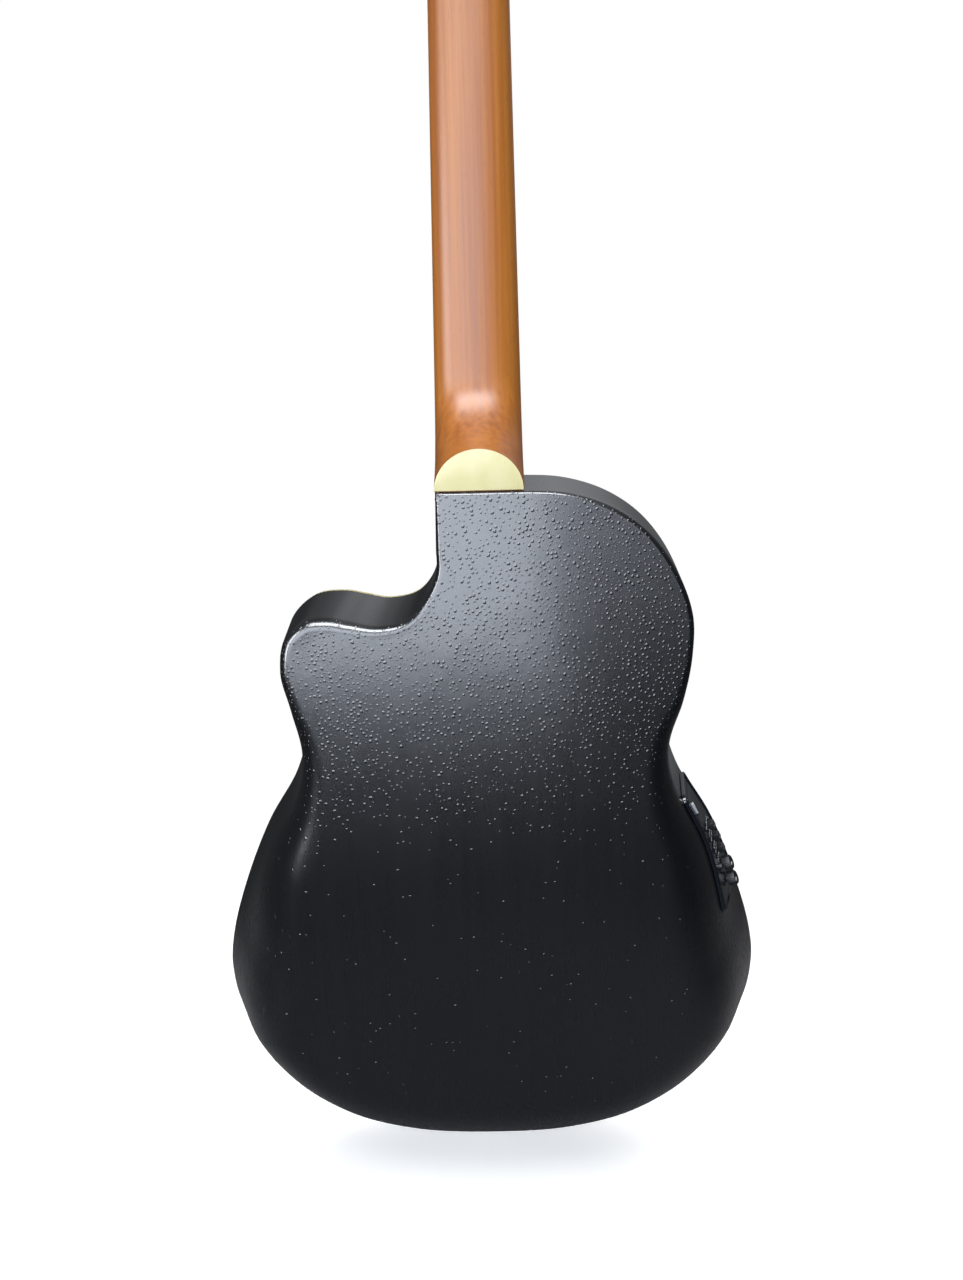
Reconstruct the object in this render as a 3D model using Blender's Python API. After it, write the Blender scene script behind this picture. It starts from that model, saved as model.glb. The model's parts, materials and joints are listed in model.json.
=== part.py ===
"""Nylon-string acoustic-electric guitar with a moulded round back and one cutaway.

Axes: X to the treble side, where the cutaway is, Y to the back, Z up along the neck.
The origin is the seat of a hanger: on the centre line, level with the flats under the head's shoulders.
Sizes are in millimetres, and each mesh is scaled to metres as it is made.
"""

import math

import bmesh
import bpy
import numpy as np
from mathutils import Matrix, Vector
from mathutils.bvhtree import BVHTree
from mathutils.geometry import delaunay_2d_cdt

MM = 0.001
GAP = 0.3  # seating and running clearance between two pieces

# Neck and strings
SCALE_LENGTH = 650.0
NUT_Z = -13.0  # the nut's string edge, below the hanger seat
JOINT_Z = NUT_Z - SCALE_LENGTH / 2  # the body meets the neck at the twelfth fret
FRETS = 19
NUT_WIDTH = 51.0
JOINT_WIDTH = 61.0
BOARD_THICK = 5.5
BOARD_TAIL = 7.0  # the fingerboard runs this far past its last fret
BOARD_END = NUT_Z - SCALE_LENGTH * (1 - 2 ** (-FRETS / 12)) - BOARD_TAIL
FRET_HIGH = 1.1
FRET_WIDE = 2.2
NECK_DEEP_NUT = 16.5
NECK_DEEP_HEEL = 19.5
SIDE_POWER = 2.4  # roundness of the neck's section across
BACK_POWER = 2.2  # and front to back
STRING_RADII = (0.36, 0.41, 0.51, 0.37, 0.46, 0.54)  # treble to bass
EDGE_TO_STRING = 4.0
NUT_SPREAD = NUT_WIDTH - 2 * EDGE_TO_STRING
SADDLE_SPREAD = 58.0
SADDLE_SHIFT = 1.5  # a little extra length, so that stopped notes stay in tune
SADDLE_Z = NUT_Z - SCALE_LENGTH - SADDLE_SHIFT
STRING_Y_NUT = -7.9
STRING_Y_SADDLE = -12.6

# Body outline
BODY_LENGTH = 500.0
BODY_WIDTH = 405.0
# Stations round the edge, x as a share of half the width and depth below the joint as a share of the length
LOWER_SIDE = (
    (0.0, 1.0), (0.296, 0.994), (0.558, 0.967), (0.795, 0.908), (0.963, 0.822), (1.0, 0.75),
    (0.985, 0.69), (0.919, 0.602), (0.812, 0.502), (0.694, 0.422), (0.654, 0.362),
)
HORN = (
    (0.674, 0.302), (0.701, 0.247), (0.677, 0.194), (0.588, 0.161), (0.484, 0.156), (0.41, 0.1614),
    (0.324, 0.1674), (0.221, 0.1576), (0.161, 0.126),
)
SHOULDER = (
    (-0.291, 0.0044), (-0.431, 0.023), (-0.553, 0.057), (-0.652, 0.11), (-0.714, 0.176), (-0.715, 0.234),
    (-0.689, 0.299),
)
WALL_STRAIGHT = 0.092  # share of the length that the wall beside the neck runs straight
HEEL_DEPTH = 68.0  # soundboard face to the back, at the neck
DEEPEST = 94.0  # the same, at the lower bout
CROWN = 6.0  # the back falls by this much
CROWN_HALF = 150.0  # this far from its centre line
BOWL_WALL = 3.0
RIM_Y = 5.8
TOP_THICK = 2.6
BINDING_WIDE = 2.5
BINDING_DEEP = RIM_Y - GAP
LINING_END_Y = 12.0
LINING_WIDE = 3.0
DRAFT_UPPER = 8.7  # how far the wall leans in by its lower end
DRAFT_LOWER = 10.4
DRAFT_NECK = 3.0
CORNER_HEEL = 3.0
CORNER_UPPER = 10.0
CORNER_LOWER = 63.0

# Soundhole and rosette
HOLE_RADIUS = 42.5
BOARD_TO_HOLE = 3.4  # the fingerboard stops this short of the hole
HOLE_Z = BOARD_END - BOARD_TO_HOLE - HOLE_RADIUS
ROSETTE_IN = HOLE_RADIUS + 3.0
ROSETTE_OUT = ROSETTE_IN + 14.0
ROSETTE_THICK = 0.5

# Blocks and braces
BLOCK_LONG = 46.0
BLOCK_SIDE = 4.0  # the neck block is this much wider than the neck, on the bass side
BLOCK_SHORT = 8.0  # it stops this far under the back
BOLT_Y = 36.0
BOLT_RADIUS = 3.0
BOLT_DEPTH = 26.0
BOLT_HEAD = 5.5
BOLT_HEAD_HIGH = 5.0
TAIL_HALF = 26.0
TAIL_LONG = 28.5
TAIL_KNEE_Y = 31.0  # the bowl starts to turn in here
TAIL_END_Y = 44.0
BRACE_WIDE = 8.0
BRACE_HIGH = 12.0
BRACE_TAPER = 18.0
BRACE_AWAY = 8.0  # from the soundhole's edge
FAN_WIDE = 6.0
FAN_HIGH = 5.0
FAN_TOP_APART = 34.0
FAN_FOOT_APART = 96.0

# Bridge and saddle
SADDLE_THICK = 2.8
SADDLE_LONG = SADDLE_SPREAD + 22.0
BRIDGE_CENTRE = SADDLE_LONG + 8.0  # width of its thick middle
BRIDGE_WIDE = 190.0
BRIDGE_LONG = 28.0
BRIDGE_AHEAD = 6.5  # of the saddle's middle
BRIDGE_TOP_Y = -8.5
WING_THICK = 3.6
SLOT_FLOOR_Y = -3.0
PICKUP_THICK = 1.6
TIE_FRONT = 9.0  # the tie block, below the saddle's middle
TIE_TOP_Y = -9.2
STRING_HOLE_Y = -5.2
TIE_BORE = 1.05
LEAD_X = 34.0
LEAD_RADIUS = 0.9

# Heel
CAP_EDGE = 2.4  # the cap is this much narrower than the neck, each side
HEEL_HALF = JOINT_WIDTH / 2 - CAP_EDGE
HEEL_APEX = 17.3  # top of the cap above the joint
HEEL_FOOT = -8.0
HEEL_START = 66.0  # the heel's curve starts this far above the joint
CAP_THICK = 1.8

# Head
HEAD_TILT = math.radians(13.0)
HEAD_HALF = 37.0
HEAD_THICK = 20.0
FACE_LIFT = 8.0  # the head's face leaves the neck's top this far below the seat
ROLLER_FIRST = 45.0
ROLLER_APART = 35.0
ROLLER_AT = tuple(ROLLER_FIRST + ROLLER_APART * row for row in range(3))  # up the head
ROLLER_RADIUS = 5.0
ROLLER_AXIS = HEAD_THICK / 2  # under the head's face
SLOT_INNER = 7.0
SLOT_OUTER = HEAD_HALF - 14.0
SLOT_START = 17.0
SLOT_END = ROLLER_AT[-1] + 18.0
HEAD_TOP = SLOT_END + 39.0

# Tuning machines
PLATE_THICK = 1.2
PLATE_HALF = 7.0
HUB_RADIUS = 3.0
SHAFT_RADIUS = 1.5
LUG_AWAY = 5.5  # a worm's two bearings, either side of the gear's middle
LUG_THICK = 2.0
LUG_HALF = 2.8
LUG_BORE = SHAFT_RADIUS + GAP + 0.1
WORM_TURNS = 2.5
TEETH = 14
WORM_LEAD = 2.6
GEAR_TIP = 6.2
GEAR_ROOT = 5.1
GEAR_WIDE = 3.0
WORM_TIP = 2.6
WORM_ROOT = 1.7
WORM_AWAY = GEAR_TIP + WORM_ROOT + 0.2
BUTTON_LONG = 16.0
BUTTON_START = HEAD_THICK + 4.5

# Strings on their rollers
ROLLER_X = (SLOT_OUTER - 4.2, SLOT_INNER + 5.5, SLOT_INNER + 4.5)  # where a string meets its roller, by row
WIND_WAY = (-1, 1, 1)
WIND_TURNS = 1.75
POINTS_PER_TURN = 16
STRING_APART = 0.65  # between a string's turns on its roller
TIE_LOOP = 2.6

# Jack in the tail
JACK_Y = 24.0
JACK_HOLE = 5.0
JACK_BODY = JACK_HOLE - GAP - 0.1
JACK_BORE = 3.3
JACK_INNER = 22.0

# Preamp, on the bass side
PREAMP_D = 256.0  # its middle, below the joint
PREAMP_LONG = 93.0
PREAMP_Y = (12.0, 56.0)
PLATE_UNDER = 0.5
PLATE_OVER = 2.5
PLATE_ROUND = 5.0
CASE_WALL = 1.6
DRAWER_AT = 30.0  # middle of the battery drawer, up from the preamp's middle
CELL_SIZE = (17.2, 26.2, 47.5)
DRAWER_WALL = 1.5
DRAWER_DEEP = CELL_SIZE[2] + 12.5
DRAWER_HALF = CELL_SIZE[0] / 2 + GAP + DRAWER_WALL
DRAWER_TALL = CELL_SIZE[1] / 2 + GAP + DRAWER_WALL
BAY_Y = (PREAMP_Y[0] + PREAMP_Y[1]) / 2 - 0.8
HOUSING_LOW = 5.0 - PREAMP_LONG / 2
HOUSING_HIGH = DRAWER_AT + DRAWER_HALF + GAP + CASE_WALL
HOUSING_Y = (BAY_Y - DRAWER_TALL - GAP - CASE_WALL, BAY_Y + DRAWER_TALL + GAP + CASE_WALL)
CONTROL_Y = BAY_Y - 1.0
CONTROL_DEEP = 13.0
SLIDE_TRAVEL = 18.0
SLOT_HALF_WIDE = 1.5
STEM_LONG = 6.0
SLIDER_AT = (8.0, -1.5, -11.0)
KNOB_AT = (-23.5, -35.8)
KNOB_RADIUS = 5.4
STEM_RADIUS = 2.0  # of a knob and of the phase button
BUTTON_P = -17.5
BUTTON_Y = CONTROL_Y + 12.0
PULL_LONG = 10.0
DRAPE_STEP = 10.0  # facets of what is laid on the bowl


def colour(code):
    """Linear colour of an sRGB hex code."""
    parts = [int(code[i : i + 2], 16) / 255 for i in (0, 2, 4)]
    return [c / 12.92 if c <= 0.04045 else ((c + 0.055) / 1.055) ** 2.4 for c in parts] + [1.0]


def material(name, code, roughness, metallic=0.0):
    made = bpy.data.materials.new(name)
    made.use_nodes = True
    shader = made.node_tree.nodes["Principled BSDF"]
    shader.inputs["Base Color"].default_value = colour(code)
    shader.inputs["Roughness"].default_value = roughness
    shader.inputs["Metallic"].default_value = metallic
    made.diffuse_color = colour(code)
    return made


def solid(name, points, faces, look, smooth=False, frame=None):
    """A closed mesh object from millimetre points, in the axes of its frame."""
    mesh = bpy.data.meshes.new(name)
    mesh.from_pydata([[c * MM for c in p] for p in points], [], [list(f) for f in faces])
    build = bmesh.new()
    build.from_mesh(mesh)
    bmesh.ops.recalc_face_normals(build, faces=build.faces)
    build.to_mesh(mesh)
    build.free()
    mesh.materials.append(look)
    made = bpy.data.objects.new(name, mesh)
    bpy.context.scene.collection.objects.link(made)
    if smooth:
        shade(made)
    if frame is not None:
        placed = frame.copy()
        placed.translation = frame.translation * MM
        made.matrix_world = placed
    return made


def shade(made, angle=math.radians(40)):
    """Smooth shading, with the edges sharper than the angle kept crisp."""
    build = bmesh.new()
    build.from_mesh(made.data)
    for face in build.faces:
        face.smooth = True
    for edge in build.edges:
        edge.smooth = len(edge.link_faces) == 2 and edge.calc_face_angle(0) < angle
    build.to_mesh(made.data)
    build.free()


def apply_boolean(made, cutter, operation="DIFFERENCE", smooth=False):
    """Cuts or joins for good, then removes the second object."""
    step = made.modifiers.new(operation.lower(), "BOOLEAN")
    step.operation = operation
    step.solver = "EXACT"
    step.object = cutter
    bpy.context.view_layer.update()
    graph = bpy.context.evaluated_depsgraph_get()
    done = bpy.data.meshes.new_from_object(made.evaluated_get(graph))
    made.modifiers.clear()
    look = made.data.materials[0]
    made.data = done
    done.materials.clear()
    done.materials.append(look)
    bpy.data.objects.remove(cutter)
    if smooth:
        shade(made)
    return made


def frame_of(origin, x_axis, z_axis):
    """Placement with the given origin, X and Z directions."""
    z = Vector(z_axis).normalized()
    x = Vector(x_axis)
    x = (x - z * x.dot(z)).normalized()
    y = z.cross(x)
    placed = Matrix((x, y, z)).transposed().to_4x4()
    placed.translation = Vector(origin)
    return placed


def hexa(name, lower, upper, look, **kw):
    """A six-sided block between two rings of four corners."""
    faces = [(3, 2, 1, 0), (4, 5, 6, 7)] + [(i, (i + 1) % 4, (i + 1) % 4 + 4, i + 4) for i in range(4)]
    return solid(name, list(lower) + list(upper), faces, look, **kw)


def box(name, low, high, look, **kw):
    (x0, y0, z0), (x1, y1, z1) = low, high
    lower = [(x0, y0, z0), (x1, y0, z0), (x1, y1, z0), (x0, y1, z0)]
    upper = [(x, y, z1) for x, y, _ in lower]
    return hexa(name, lower, upper, look, **kw)


def fill(loops):
    """Triangles inside the first loop and outside the others, as indices into their points."""
    flat = [Vector(p) for loop in loops for p in loop]
    edges, start = [], 0
    for loop in loops:
        edges += [(start + i, start + (i + 1) % len(loop)) for i in range(len(loop))]
        start += len(loop)
    made = delaunay_2d_cdt(flat, edges, [], 0, 1e-6)
    where = [sources[0] for sources in made[3]]
    kept = []
    for face in made[2]:
        x, y = sum((made[0][i] for i in face), Vector((0, 0))) / 3
        crossings = 0
        for i, j in edges:
            (x0, y0), (x1, y1) = flat[i], flat[j]
            if (y0 > y) != (y1 > y) and x < x0 + (x1 - x0) * (y - y0) / (y1 - y0):
                crossings += 1
        if crossings % 2:
            kept.append(tuple(where[i] for i in face))
    return kept


def prism_mesh(loops, low, high, place):
    """Points and faces of a flat shape with holes, drawn in (a, b) and run from low to high in c."""
    flat = [p for loop in loops for p in loop]
    n = len(flat)
    flats = fill(loops)
    points = [place(a, b, low) for a, b in flat] + [place(a, b, high) for a, b in flat]
    faces = flats + [tuple(i + n for i in reversed(t)) for t in flats]
    start = 0
    for loop in loops:
        for i in range(len(loop)):
            j = start + (i + 1) % len(loop)
            faces.append((start + i, j, j + n, start + i + n))
        start += len(loop)
    return points, faces


def prism(name, loops, low, high, look, place=lambda a, b, c: (a, c, b), **kw):
    """The flat shape as an object: without another placing, a is X, b is Z and c is Y."""
    points, faces = prism_mesh(loops, low, high, place)
    return solid(name, points, faces, look, **kw)


def loft_mesh(rings):
    n = len(rings[0])
    points = [p for ring in rings for p in ring]
    faces = [tuple(range(n)), tuple(reversed(range(len(points) - n, len(points))))]
    for k in range(len(rings) - 1):
        for i in range(n):
            j = (i + 1) % n
            faces.append((k * n + i, k * n + j, k * n + n + j, k * n + n + i))
    return points, faces


def loft(name, rings, look, **kw):
    points, faces = loft_mesh(rings)
    return solid(name, points, faces, look, **kw)


def circle(radius, count, centre=(0.0, 0.0), start=0.0):
    turns = [start + 2 * math.pi * i / count for i in range(count)]
    return [(centre[0] + radius * math.cos(t), centre[1] + radius * math.sin(t)) for t in turns]


def lathe(name, profile, count, look, **kw):
    """A turned piece about its own Z, from (radius, height) steps."""
    rings = [[(x, y, h) for x, y in circle(r, count)] for r, h in profile]
    kw.setdefault("smooth", True)
    return loft(name, rings, look, **kw)


def smoothstep(low, high, value):
    t = np.clip((value - low) / (high - low), 0.0, 1.0)
    return t * t * (3 - 2 * t)


def neck_half(above):
    """Half the width of the neck and fingerboard, at a height above the joint."""
    return (JOINT_WIDTH - (JOINT_WIDTH - NUT_WIDTH) * above / (SCALE_LENGTH / 2)) / 2


# Body outline and bowl surface

def body_outline(steps=2):
    """Points (x, d) round the soundboard, d below the joint, from the tail up the treble side.

    It returns the points and the indices of the corners at the heel."""
    low, horn, shoulder = (
        [(x * BODY_WIDTH / 2, d * BODY_LENGTH) for x, d in side] for side in (LOWER_SIDE, HORN, SHOULDER)
    )
    heel, straight = neck_half(0), WALL_STRAIGHT * BODY_LENGTH
    stations = low + horn + [(neck_half(-straight), straight), (heel, 0), (-heel, 0)]
    stations += shoulder + [(-x, d) for x, d in reversed(low[1:])]
    first = len(low) + len(horn)
    sharp = {first, first + 1, first + 2}
    spots = np.array(stations, float)
    n = len(spots)
    out = []
    for i in range(n):
        p0, p1, p2, p3 = spots[i - 1], spots[i], spots[(i + 1) % n], spots[(i + 2) % n]
        a, b, c = (math.sqrt(math.dist(p, q)) for p, q in ((p0, p1), (p1, p2), (p2, p3)))
        t1 = ((p1 - p0) / a - (p2 - p0) / (a + b) + (p2 - p1) / b) * b
        t2 = ((p2 - p1) / b - (p3 - p1) / (b + c) + (p3 - p2) / c) * b
        before, after = i in sharp, (i + 1) % n in sharp
        if before:
            t1 = p2 - p1 if after else 1.5 * (p2 - p1) - 0.5 * t2
        if after:
            t2 = p2 - p1 if before else 1.5 * (p2 - p1) - 0.5 * t1
        for k in range(steps):
            t = k / steps
            h1, h2 = 2 * t**3 - 3 * t**2 + 1, t**3 - 2 * t**2 + t
            h3, h4 = 3 * t**2 - 2 * t**3, t**3 - t**2
            out.append(h1 * p1 + h2 * t1 + h3 * p2 + h4 * t2)
    return np.array(out), [(first + k) * steps for k in range(3)]


OUTLINE, HEEL_CORNERS = body_outline()


def inset(before, after=None):
    """The outline moved inwards, by the distances for the edge before and after each point."""
    after = before if after is None else after
    edge = np.roll(OUTLINE, -1, 0) - OUTLINE
    normal = np.stack([edge[:, 1], -edge[:, 0]], 1) / np.linalg.norm(edge, axis=1)[:, None]
    middle = OUTLINE.mean(0)
    if ((middle - OUTLINE) * normal).sum() < 0:
        normal = -normal
    moved = OUTLINE.copy()
    for i, (n1, n2) in enumerate(zip(np.roll(normal, 1, 0), normal)):
        turn = n1[0] * n2[1] - n1[1] * n2[0]
        if abs(turn) > 0.35:
            moved[i] += np.linalg.solve(np.array([n1, n2]), [before[i], after[i]])
        else:
            both = n1 + n2
            moved[i] += both / np.linalg.norm(both) * (before[i] + after[i]) / 2
    return unfold(moved)


def unfold(ring):
    """The ring, with any points that turn back on themselves spread out again."""
    edge = np.roll(OUTLINE, -1, 0) - OUTLINE
    for _ in range(60):
        back = (edge * (np.roll(ring, -1, 0) - ring)).sum(1) < 0
        if not back.any():
            break
        near = back | np.roll(back, 1)
        ring = np.where(near[:, None], (np.roll(ring, 1, 0) + ring + np.roll(ring, -1, 0)) / 3, ring)
    return ring


def base_depth(points):
    """Depth of the back over a point (x, d) of the outline's plane."""
    rise = smoothstep(-0.08 * BODY_LENGTH, 0.66 * BODY_LENGTH, points[:, 1])
    return HEEL_DEPTH + (DEEPEST - HEEL_DEPTH) * rise - CROWN * (points[:, 0] / CROWN_HALF) ** 2


def wall_draft():
    """How far the wall leans in, before and after each point of the outline."""
    x, d = OUTLINE[:, 0], OUTLINE[:, 1]
    lean = DRAFT_UPPER + (DRAFT_LOWER - DRAFT_UPPER) * smoothstep(0.24 * BODY_LENGTH, 0.52 * BODY_LENGTH, d)
    from_neck = (x - neck_half(0)) / BODY_WIDTH
    beside = (1 - smoothstep(0.006, 0.068, from_neck)) * (x > 0) * (d < 0.18 * BODY_LENGTH)
    before = lean * (1 - beside) + DRAFT_NECK * beside
    after = before.copy()
    after[HEEL_CORNERS[1]] = DRAFT_UPPER
    return before, after


def wall_shape():
    """Of each outline point: the draft before and after it, the lower corner's radius, the depth there,
    the depth where the wall ends, and the wall's slope."""
    x, d = OUTLINE[:, 0], OUTLINE[:, 1]
    before, after = wall_draft()
    away = np.hypot(np.maximum(np.abs(x) - neck_half(0), 0), d)
    tight = CORNER_HEEL + (CORNER_UPPER - CORNER_HEEL) * smoothstep(0, 0.12 * BODY_LENGTH, away)
    turn = tight + (CORNER_LOWER - tight) * smoothstep(0.26 * BODY_LENGTH, 0.66 * BODY_LENGTH, d)
    deep = base_depth(inset(before + turn, after + turn))
    slope = (before + after) / 2 / (deep - turn - RIM_Y)
    return before, after, turn, deep, deep - turn, slope


def bowl_rings(wall_steps=2, corner_steps=6, floor_steps=(0.3, 0.62)):
    """Rings of (x, y, d) down the outside of the bowl, from its rim to the middle of the back."""
    before, after, turn, deep, turn_y, slope = wall_shape()
    rings = []

    def ring(share, extra, y):
        flat = inset(before * share + extra, after * share + extra)
        rings.append(np.stack([flat[:, 0], y, flat[:, 1]], 1))

    for k in range(wall_steps + 1):
        t = k / wall_steps
        ring(t, 0.0 * turn, RIM_Y + (turn_y - RIM_Y) * t)
    for k in range(1, corner_steps + 1):
        t = k / corner_steps
        b1, b2, b3 = 3 * t * (1 - t) ** 2, 3 * t * t * (1 - t), t**3
        extra = b1 * 0.55 * turn * slope + b2 * 0.45 * turn + b3 * turn
        y = (1 - t) ** 3 * turn_y + b1 * (turn_y + 0.55 * turn) + (b2 + b3) * deep
        ring(1.0, extra, y)
    foot = inset(before + turn, after + turn)
    spine = np.clip(foot[:, 1], 0.24 * BODY_LENGTH, 0.66 * BODY_LENGTH)
    spine = np.stack([np.zeros(len(spine)), spine], 1)
    for t in floor_steps:
        flat = foot + (spine - foot) * t
        rings.append(np.stack([flat[:, 0], base_depth(flat), flat[:, 1]], 1))
    return rings


def to_world(ring):
    """(x, y, d) with d below the joint, as (x, y, z)."""
    return [(float(x), float(y), JOINT_Z - float(d)) for x, y, d in ring]


def cap_faces(ring, start):
    return [tuple(start + i for i in t) for t in fill([[(x, z) for x, _, z in ring]])]


def bowl_mesh():
    outer = bowl_rings()
    grid = np.array(outer)
    along = np.roll(grid, -1, 1) - np.roll(grid, 1, 1)
    down = np.gradient(grid, axis=0)
    out = np.cross(down, along)
    out /= np.linalg.norm(out, axis=2)[:, :, None]
    if out[-1, :, 1].mean() < 0:
        out = -out
    inner = grid - out * BOWL_WALL
    wall = np.full(len(OUTLINE), BOWL_WALL)
    flat = inset(wall)
    inner[0] = np.stack([flat[:, 0], np.full(len(flat), RIM_Y), flat[:, 1]], 1)
    kept = [inner[k] for k in (0, 2, 5, 9)]
    rings = [to_world(r) for r in reversed(kept)] + [to_world(r) for r in outer]
    points = [p for r in rings for p in r]
    n = len(OUTLINE)
    faces = cap_faces(rings[0], 0) + cap_faces(rings[-1], len(points) - n)
    for k in range(len(rings) - 1):
        for i in range(n):
            j = (i + 1) % n
            faces.append((k * n + i, k * n + j, k * n + n + j, k * n + n + i))
    skin = [p for r in outer for p in to_world(r)]
    skin_faces = []
    for k in range(len(outer) - 1):
        for i in range(n):
            j = (i + 1) % n
            skin_faces.append((k * n + i, k * n + j, k * n + n + j, k * n + n + i))
    return points, faces, BVHTree.FromPolygons([Vector(p) for p in skin], skin_faces)


def hoop(name, levels, look, **kw):
    """A band that follows the outline: each level is (inset, y), in order round the band's section."""
    n = len(OUTLINE)
    rings = []
    for away, y in levels:
        flat = inset(np.full(n, away) if np.isscalar(away) else away)
        rings.append(to_world(np.stack([flat[:, 0], np.full(n, y), flat[:, 1]], 1)))
    points = [p for r in rings for p in r]
    faces = []
    for k in range(len(rings)):
        m = (k + 1) % len(rings)
        for i in range(n):
            j = (i + 1) % n
            faces.append((k * n + i, k * n + j, m * n + j, m * n + i))
    return solid(name, points, faces, look, **kw)


# Start

for old in list(bpy.data.objects):
    bpy.data.objects.remove(old)

BOWL = material("moulded_black", "1E2226", 0.28)
SPRUCE = material("spruce", "D9A766", 0.35)
BRACE = material("brace_spruce", "D8B888", 0.7)
CREAM = material("cream_plastic", "FEFCCA", 0.4)
MAHOGANY = material("satin_mahogany", "B37337", 0.45)
ROSEWOOD = material("rosewood", "3A241A", 0.5)
BONE = material("bone", "EFE7D2", 0.4)
STEEL = material("nickel_steel", "C9CACB", 0.25, 1.0)
BRASS = material("brass", "C9A45A", 0.3, 1.0)
PEARL = material("pearl_plastic", "E9E4D6", 0.3)
WOUND = material("silver_wound", "B9B3A6", 0.35, 1.0)
NYLON = material("clear_nylon", "E6E2D8", 0.3)
CASE = material("black_plastic", "26282B", 0.5)
KNOB = material("knob_plastic", "33363A", 0.45)
CELL = material("battery_wrap", "8A8F94", 0.35, 0.6)
RUBBER = material("cable_sheath", "1B1B1C", 0.6)

# Bowl, soundboard and edge

bowl_points, bowl_faces, SKIN = bowl_mesh()
bowl = solid("bowl_shell", bowl_points, bowl_faces, BOWL, smooth=True)

ones = np.ones(len(OUTLINE))
hoop(
    "edge_binding",
    [(0.0, 0.0), (0.0, BINDING_DEEP), (BINDING_WIDE, BINDING_DEEP), (BINDING_WIDE, 0.0)],
    CREAM,
)

top_edge = inset(ones * (BINDING_WIDE + GAP))
top_loop = [(float(x), JOINT_Z - float(d)) for x, d in top_edge]
prism(
    "soundboard",
    [top_loop, circle(HOLE_RADIUS, 40, (0.0, HOLE_Z))],
    0.0,
    TOP_THICK,
    SPRUCE,
)

wall_lean = wall_shape()[5]
lining_in = BOWL_WALL + GAP + ones * 0.2
lining_drop = (LINING_END_Y - RIM_Y) * wall_lean + BOWL_WALL * (np.hypot(1, wall_lean) - 1) + 0.3
hoop(
    "top_lining",
    [
        (lining_in, TOP_THICK + GAP),
        (lining_in + lining_drop, LINING_END_Y),
        (lining_in + lining_drop.max() + LINING_WIDE, TOP_THICK + GAP),
    ],
    BRACE,
)

rosette = prism(
    "rosette",
    [circle(ROSETTE_OUT, 36, (0.0, HOLE_Z)), circle(ROSETTE_IN, 36, (0.0, HOLE_Z))],
    -GAP - ROSETTE_THICK,
    -GAP,
    ROSEWOOD,
)
board_half = neck_half(BOARD_END - JOINT_Z) + GAP
under_board = box(
    "cut_board", (-board_half, -5.0, BOARD_END - GAP), (board_half, 5.0, HOLE_Z + 2 * ROSETTE_OUT), ROSEWOOD
)
apply_boolean(rosette, under_board)


# Blocks and braces inside


def wall_inside(index, y):
    """Inset of the bowl's inner face at a depth on its wall, at one outline point, with the seating gap."""
    lean = wall_lean[index]
    return (y - RIM_Y) * lean + BOWL_WALL * math.hypot(1, lean) + GAP + 0.1


BLOCK_TOP_Y = LINING_END_Y + GAP
BLOCK_END_Y = HEEL_DEPTH - BLOCK_SHORT
heel_slope = DRAFT_UPPER / (HEEL_DEPTH - CORNER_HEEL - RIM_Y)
side_slope = DRAFT_NECK / (HEEL_DEPTH - CORNER_UPPER - RIM_Y)


def heel_inside(y):
    return JOINT_Z - (y - RIM_Y) * heel_slope - BOWL_WALL * math.hypot(1, heel_slope) - GAP - 0.4


def side_inside(y):
    return neck_half(0) - (y - RIM_Y) * side_slope - BOWL_WALL - GAP - 1.2


block_low = JOINT_Z - BLOCK_LONG
block_out = -neck_half(0) - BLOCK_SIDE
neck_block = hexa(
    "neck_block",
    [
        (block_out, BLOCK_TOP_Y, block_low),
        (side_inside(BLOCK_TOP_Y), BLOCK_TOP_Y, block_low),
        (side_inside(BLOCK_END_Y), BLOCK_END_Y, block_low),
        (block_out, BLOCK_END_Y, block_low),
    ],
    [
        (block_out, BLOCK_TOP_Y, heel_inside(BLOCK_TOP_Y)),
        (side_inside(BLOCK_TOP_Y), BLOCK_TOP_Y, heel_inside(BLOCK_TOP_Y)),
        (side_inside(BLOCK_END_Y), BLOCK_END_Y, heel_inside(BLOCK_END_Y)),
        (block_out, BLOCK_END_Y, heel_inside(BLOCK_END_Y)),
    ],
    MAHOGANY,
)


def rod(name, radius, low, high, look, count=16, centre=(0.0, 0.0)):
    """A round bar along Z."""
    rings = [[(x, y, z) for x, y in circle(radius, count, centre)] for z in (low, high)]
    return loft(name, rings, look, smooth=True)


def bolt_bore():
    return rod(
        "cut_bolt",
        BOLT_RADIUS + GAP,
        block_low - BOLT_HEAD_HIGH,
        JOINT_Z + BOLT_DEPTH + GAP,
        STEEL,
        centre=(0.0, BOLT_Y),
    )


apply_boolean(neck_block, bolt_bore())
apply_boolean(bowl, bolt_bore(), smooth=True)
bolt_frame = frame_of((0.0, BOLT_Y, block_low - GAP), (1, 0, 0), (0, 0, 1))
lathe(
    "neck_bolt",
    [
        (BOLT_HEAD, -BOLT_HEAD_HIGH),
        (BOLT_HEAD, 0.0),
        (BOLT_RADIUS, 0.0),
        (BOLT_RADIUS, JOINT_Z + BOLT_DEPTH - block_low + GAP),
    ],
    16,
    STEEL,
    frame=bolt_frame,
)

tail_levels = (BLOCK_TOP_Y, TAIL_KNEE_Y, TAIL_END_Y)
tail_low = [JOINT_Z - BODY_LENGTH + wall_inside(0, y) + 1.2 for y in tail_levels]
tail_low[2] += 6.0
tail_high = tail_low[0] + TAIL_LONG
tail_section = [
    (BLOCK_TOP_Y, tail_low[0]),
    (TAIL_KNEE_Y, tail_low[1]),
    (TAIL_END_Y, tail_low[2]),
    (TAIL_END_Y, tail_high),
    (BLOCK_TOP_Y, tail_high),
]
tail_block = prism(
    "tail_block", [tail_section], -TAIL_HALF, TAIL_HALF, MAHOGANY, place=lambda a, b, c: (c, a, b)
)


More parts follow.
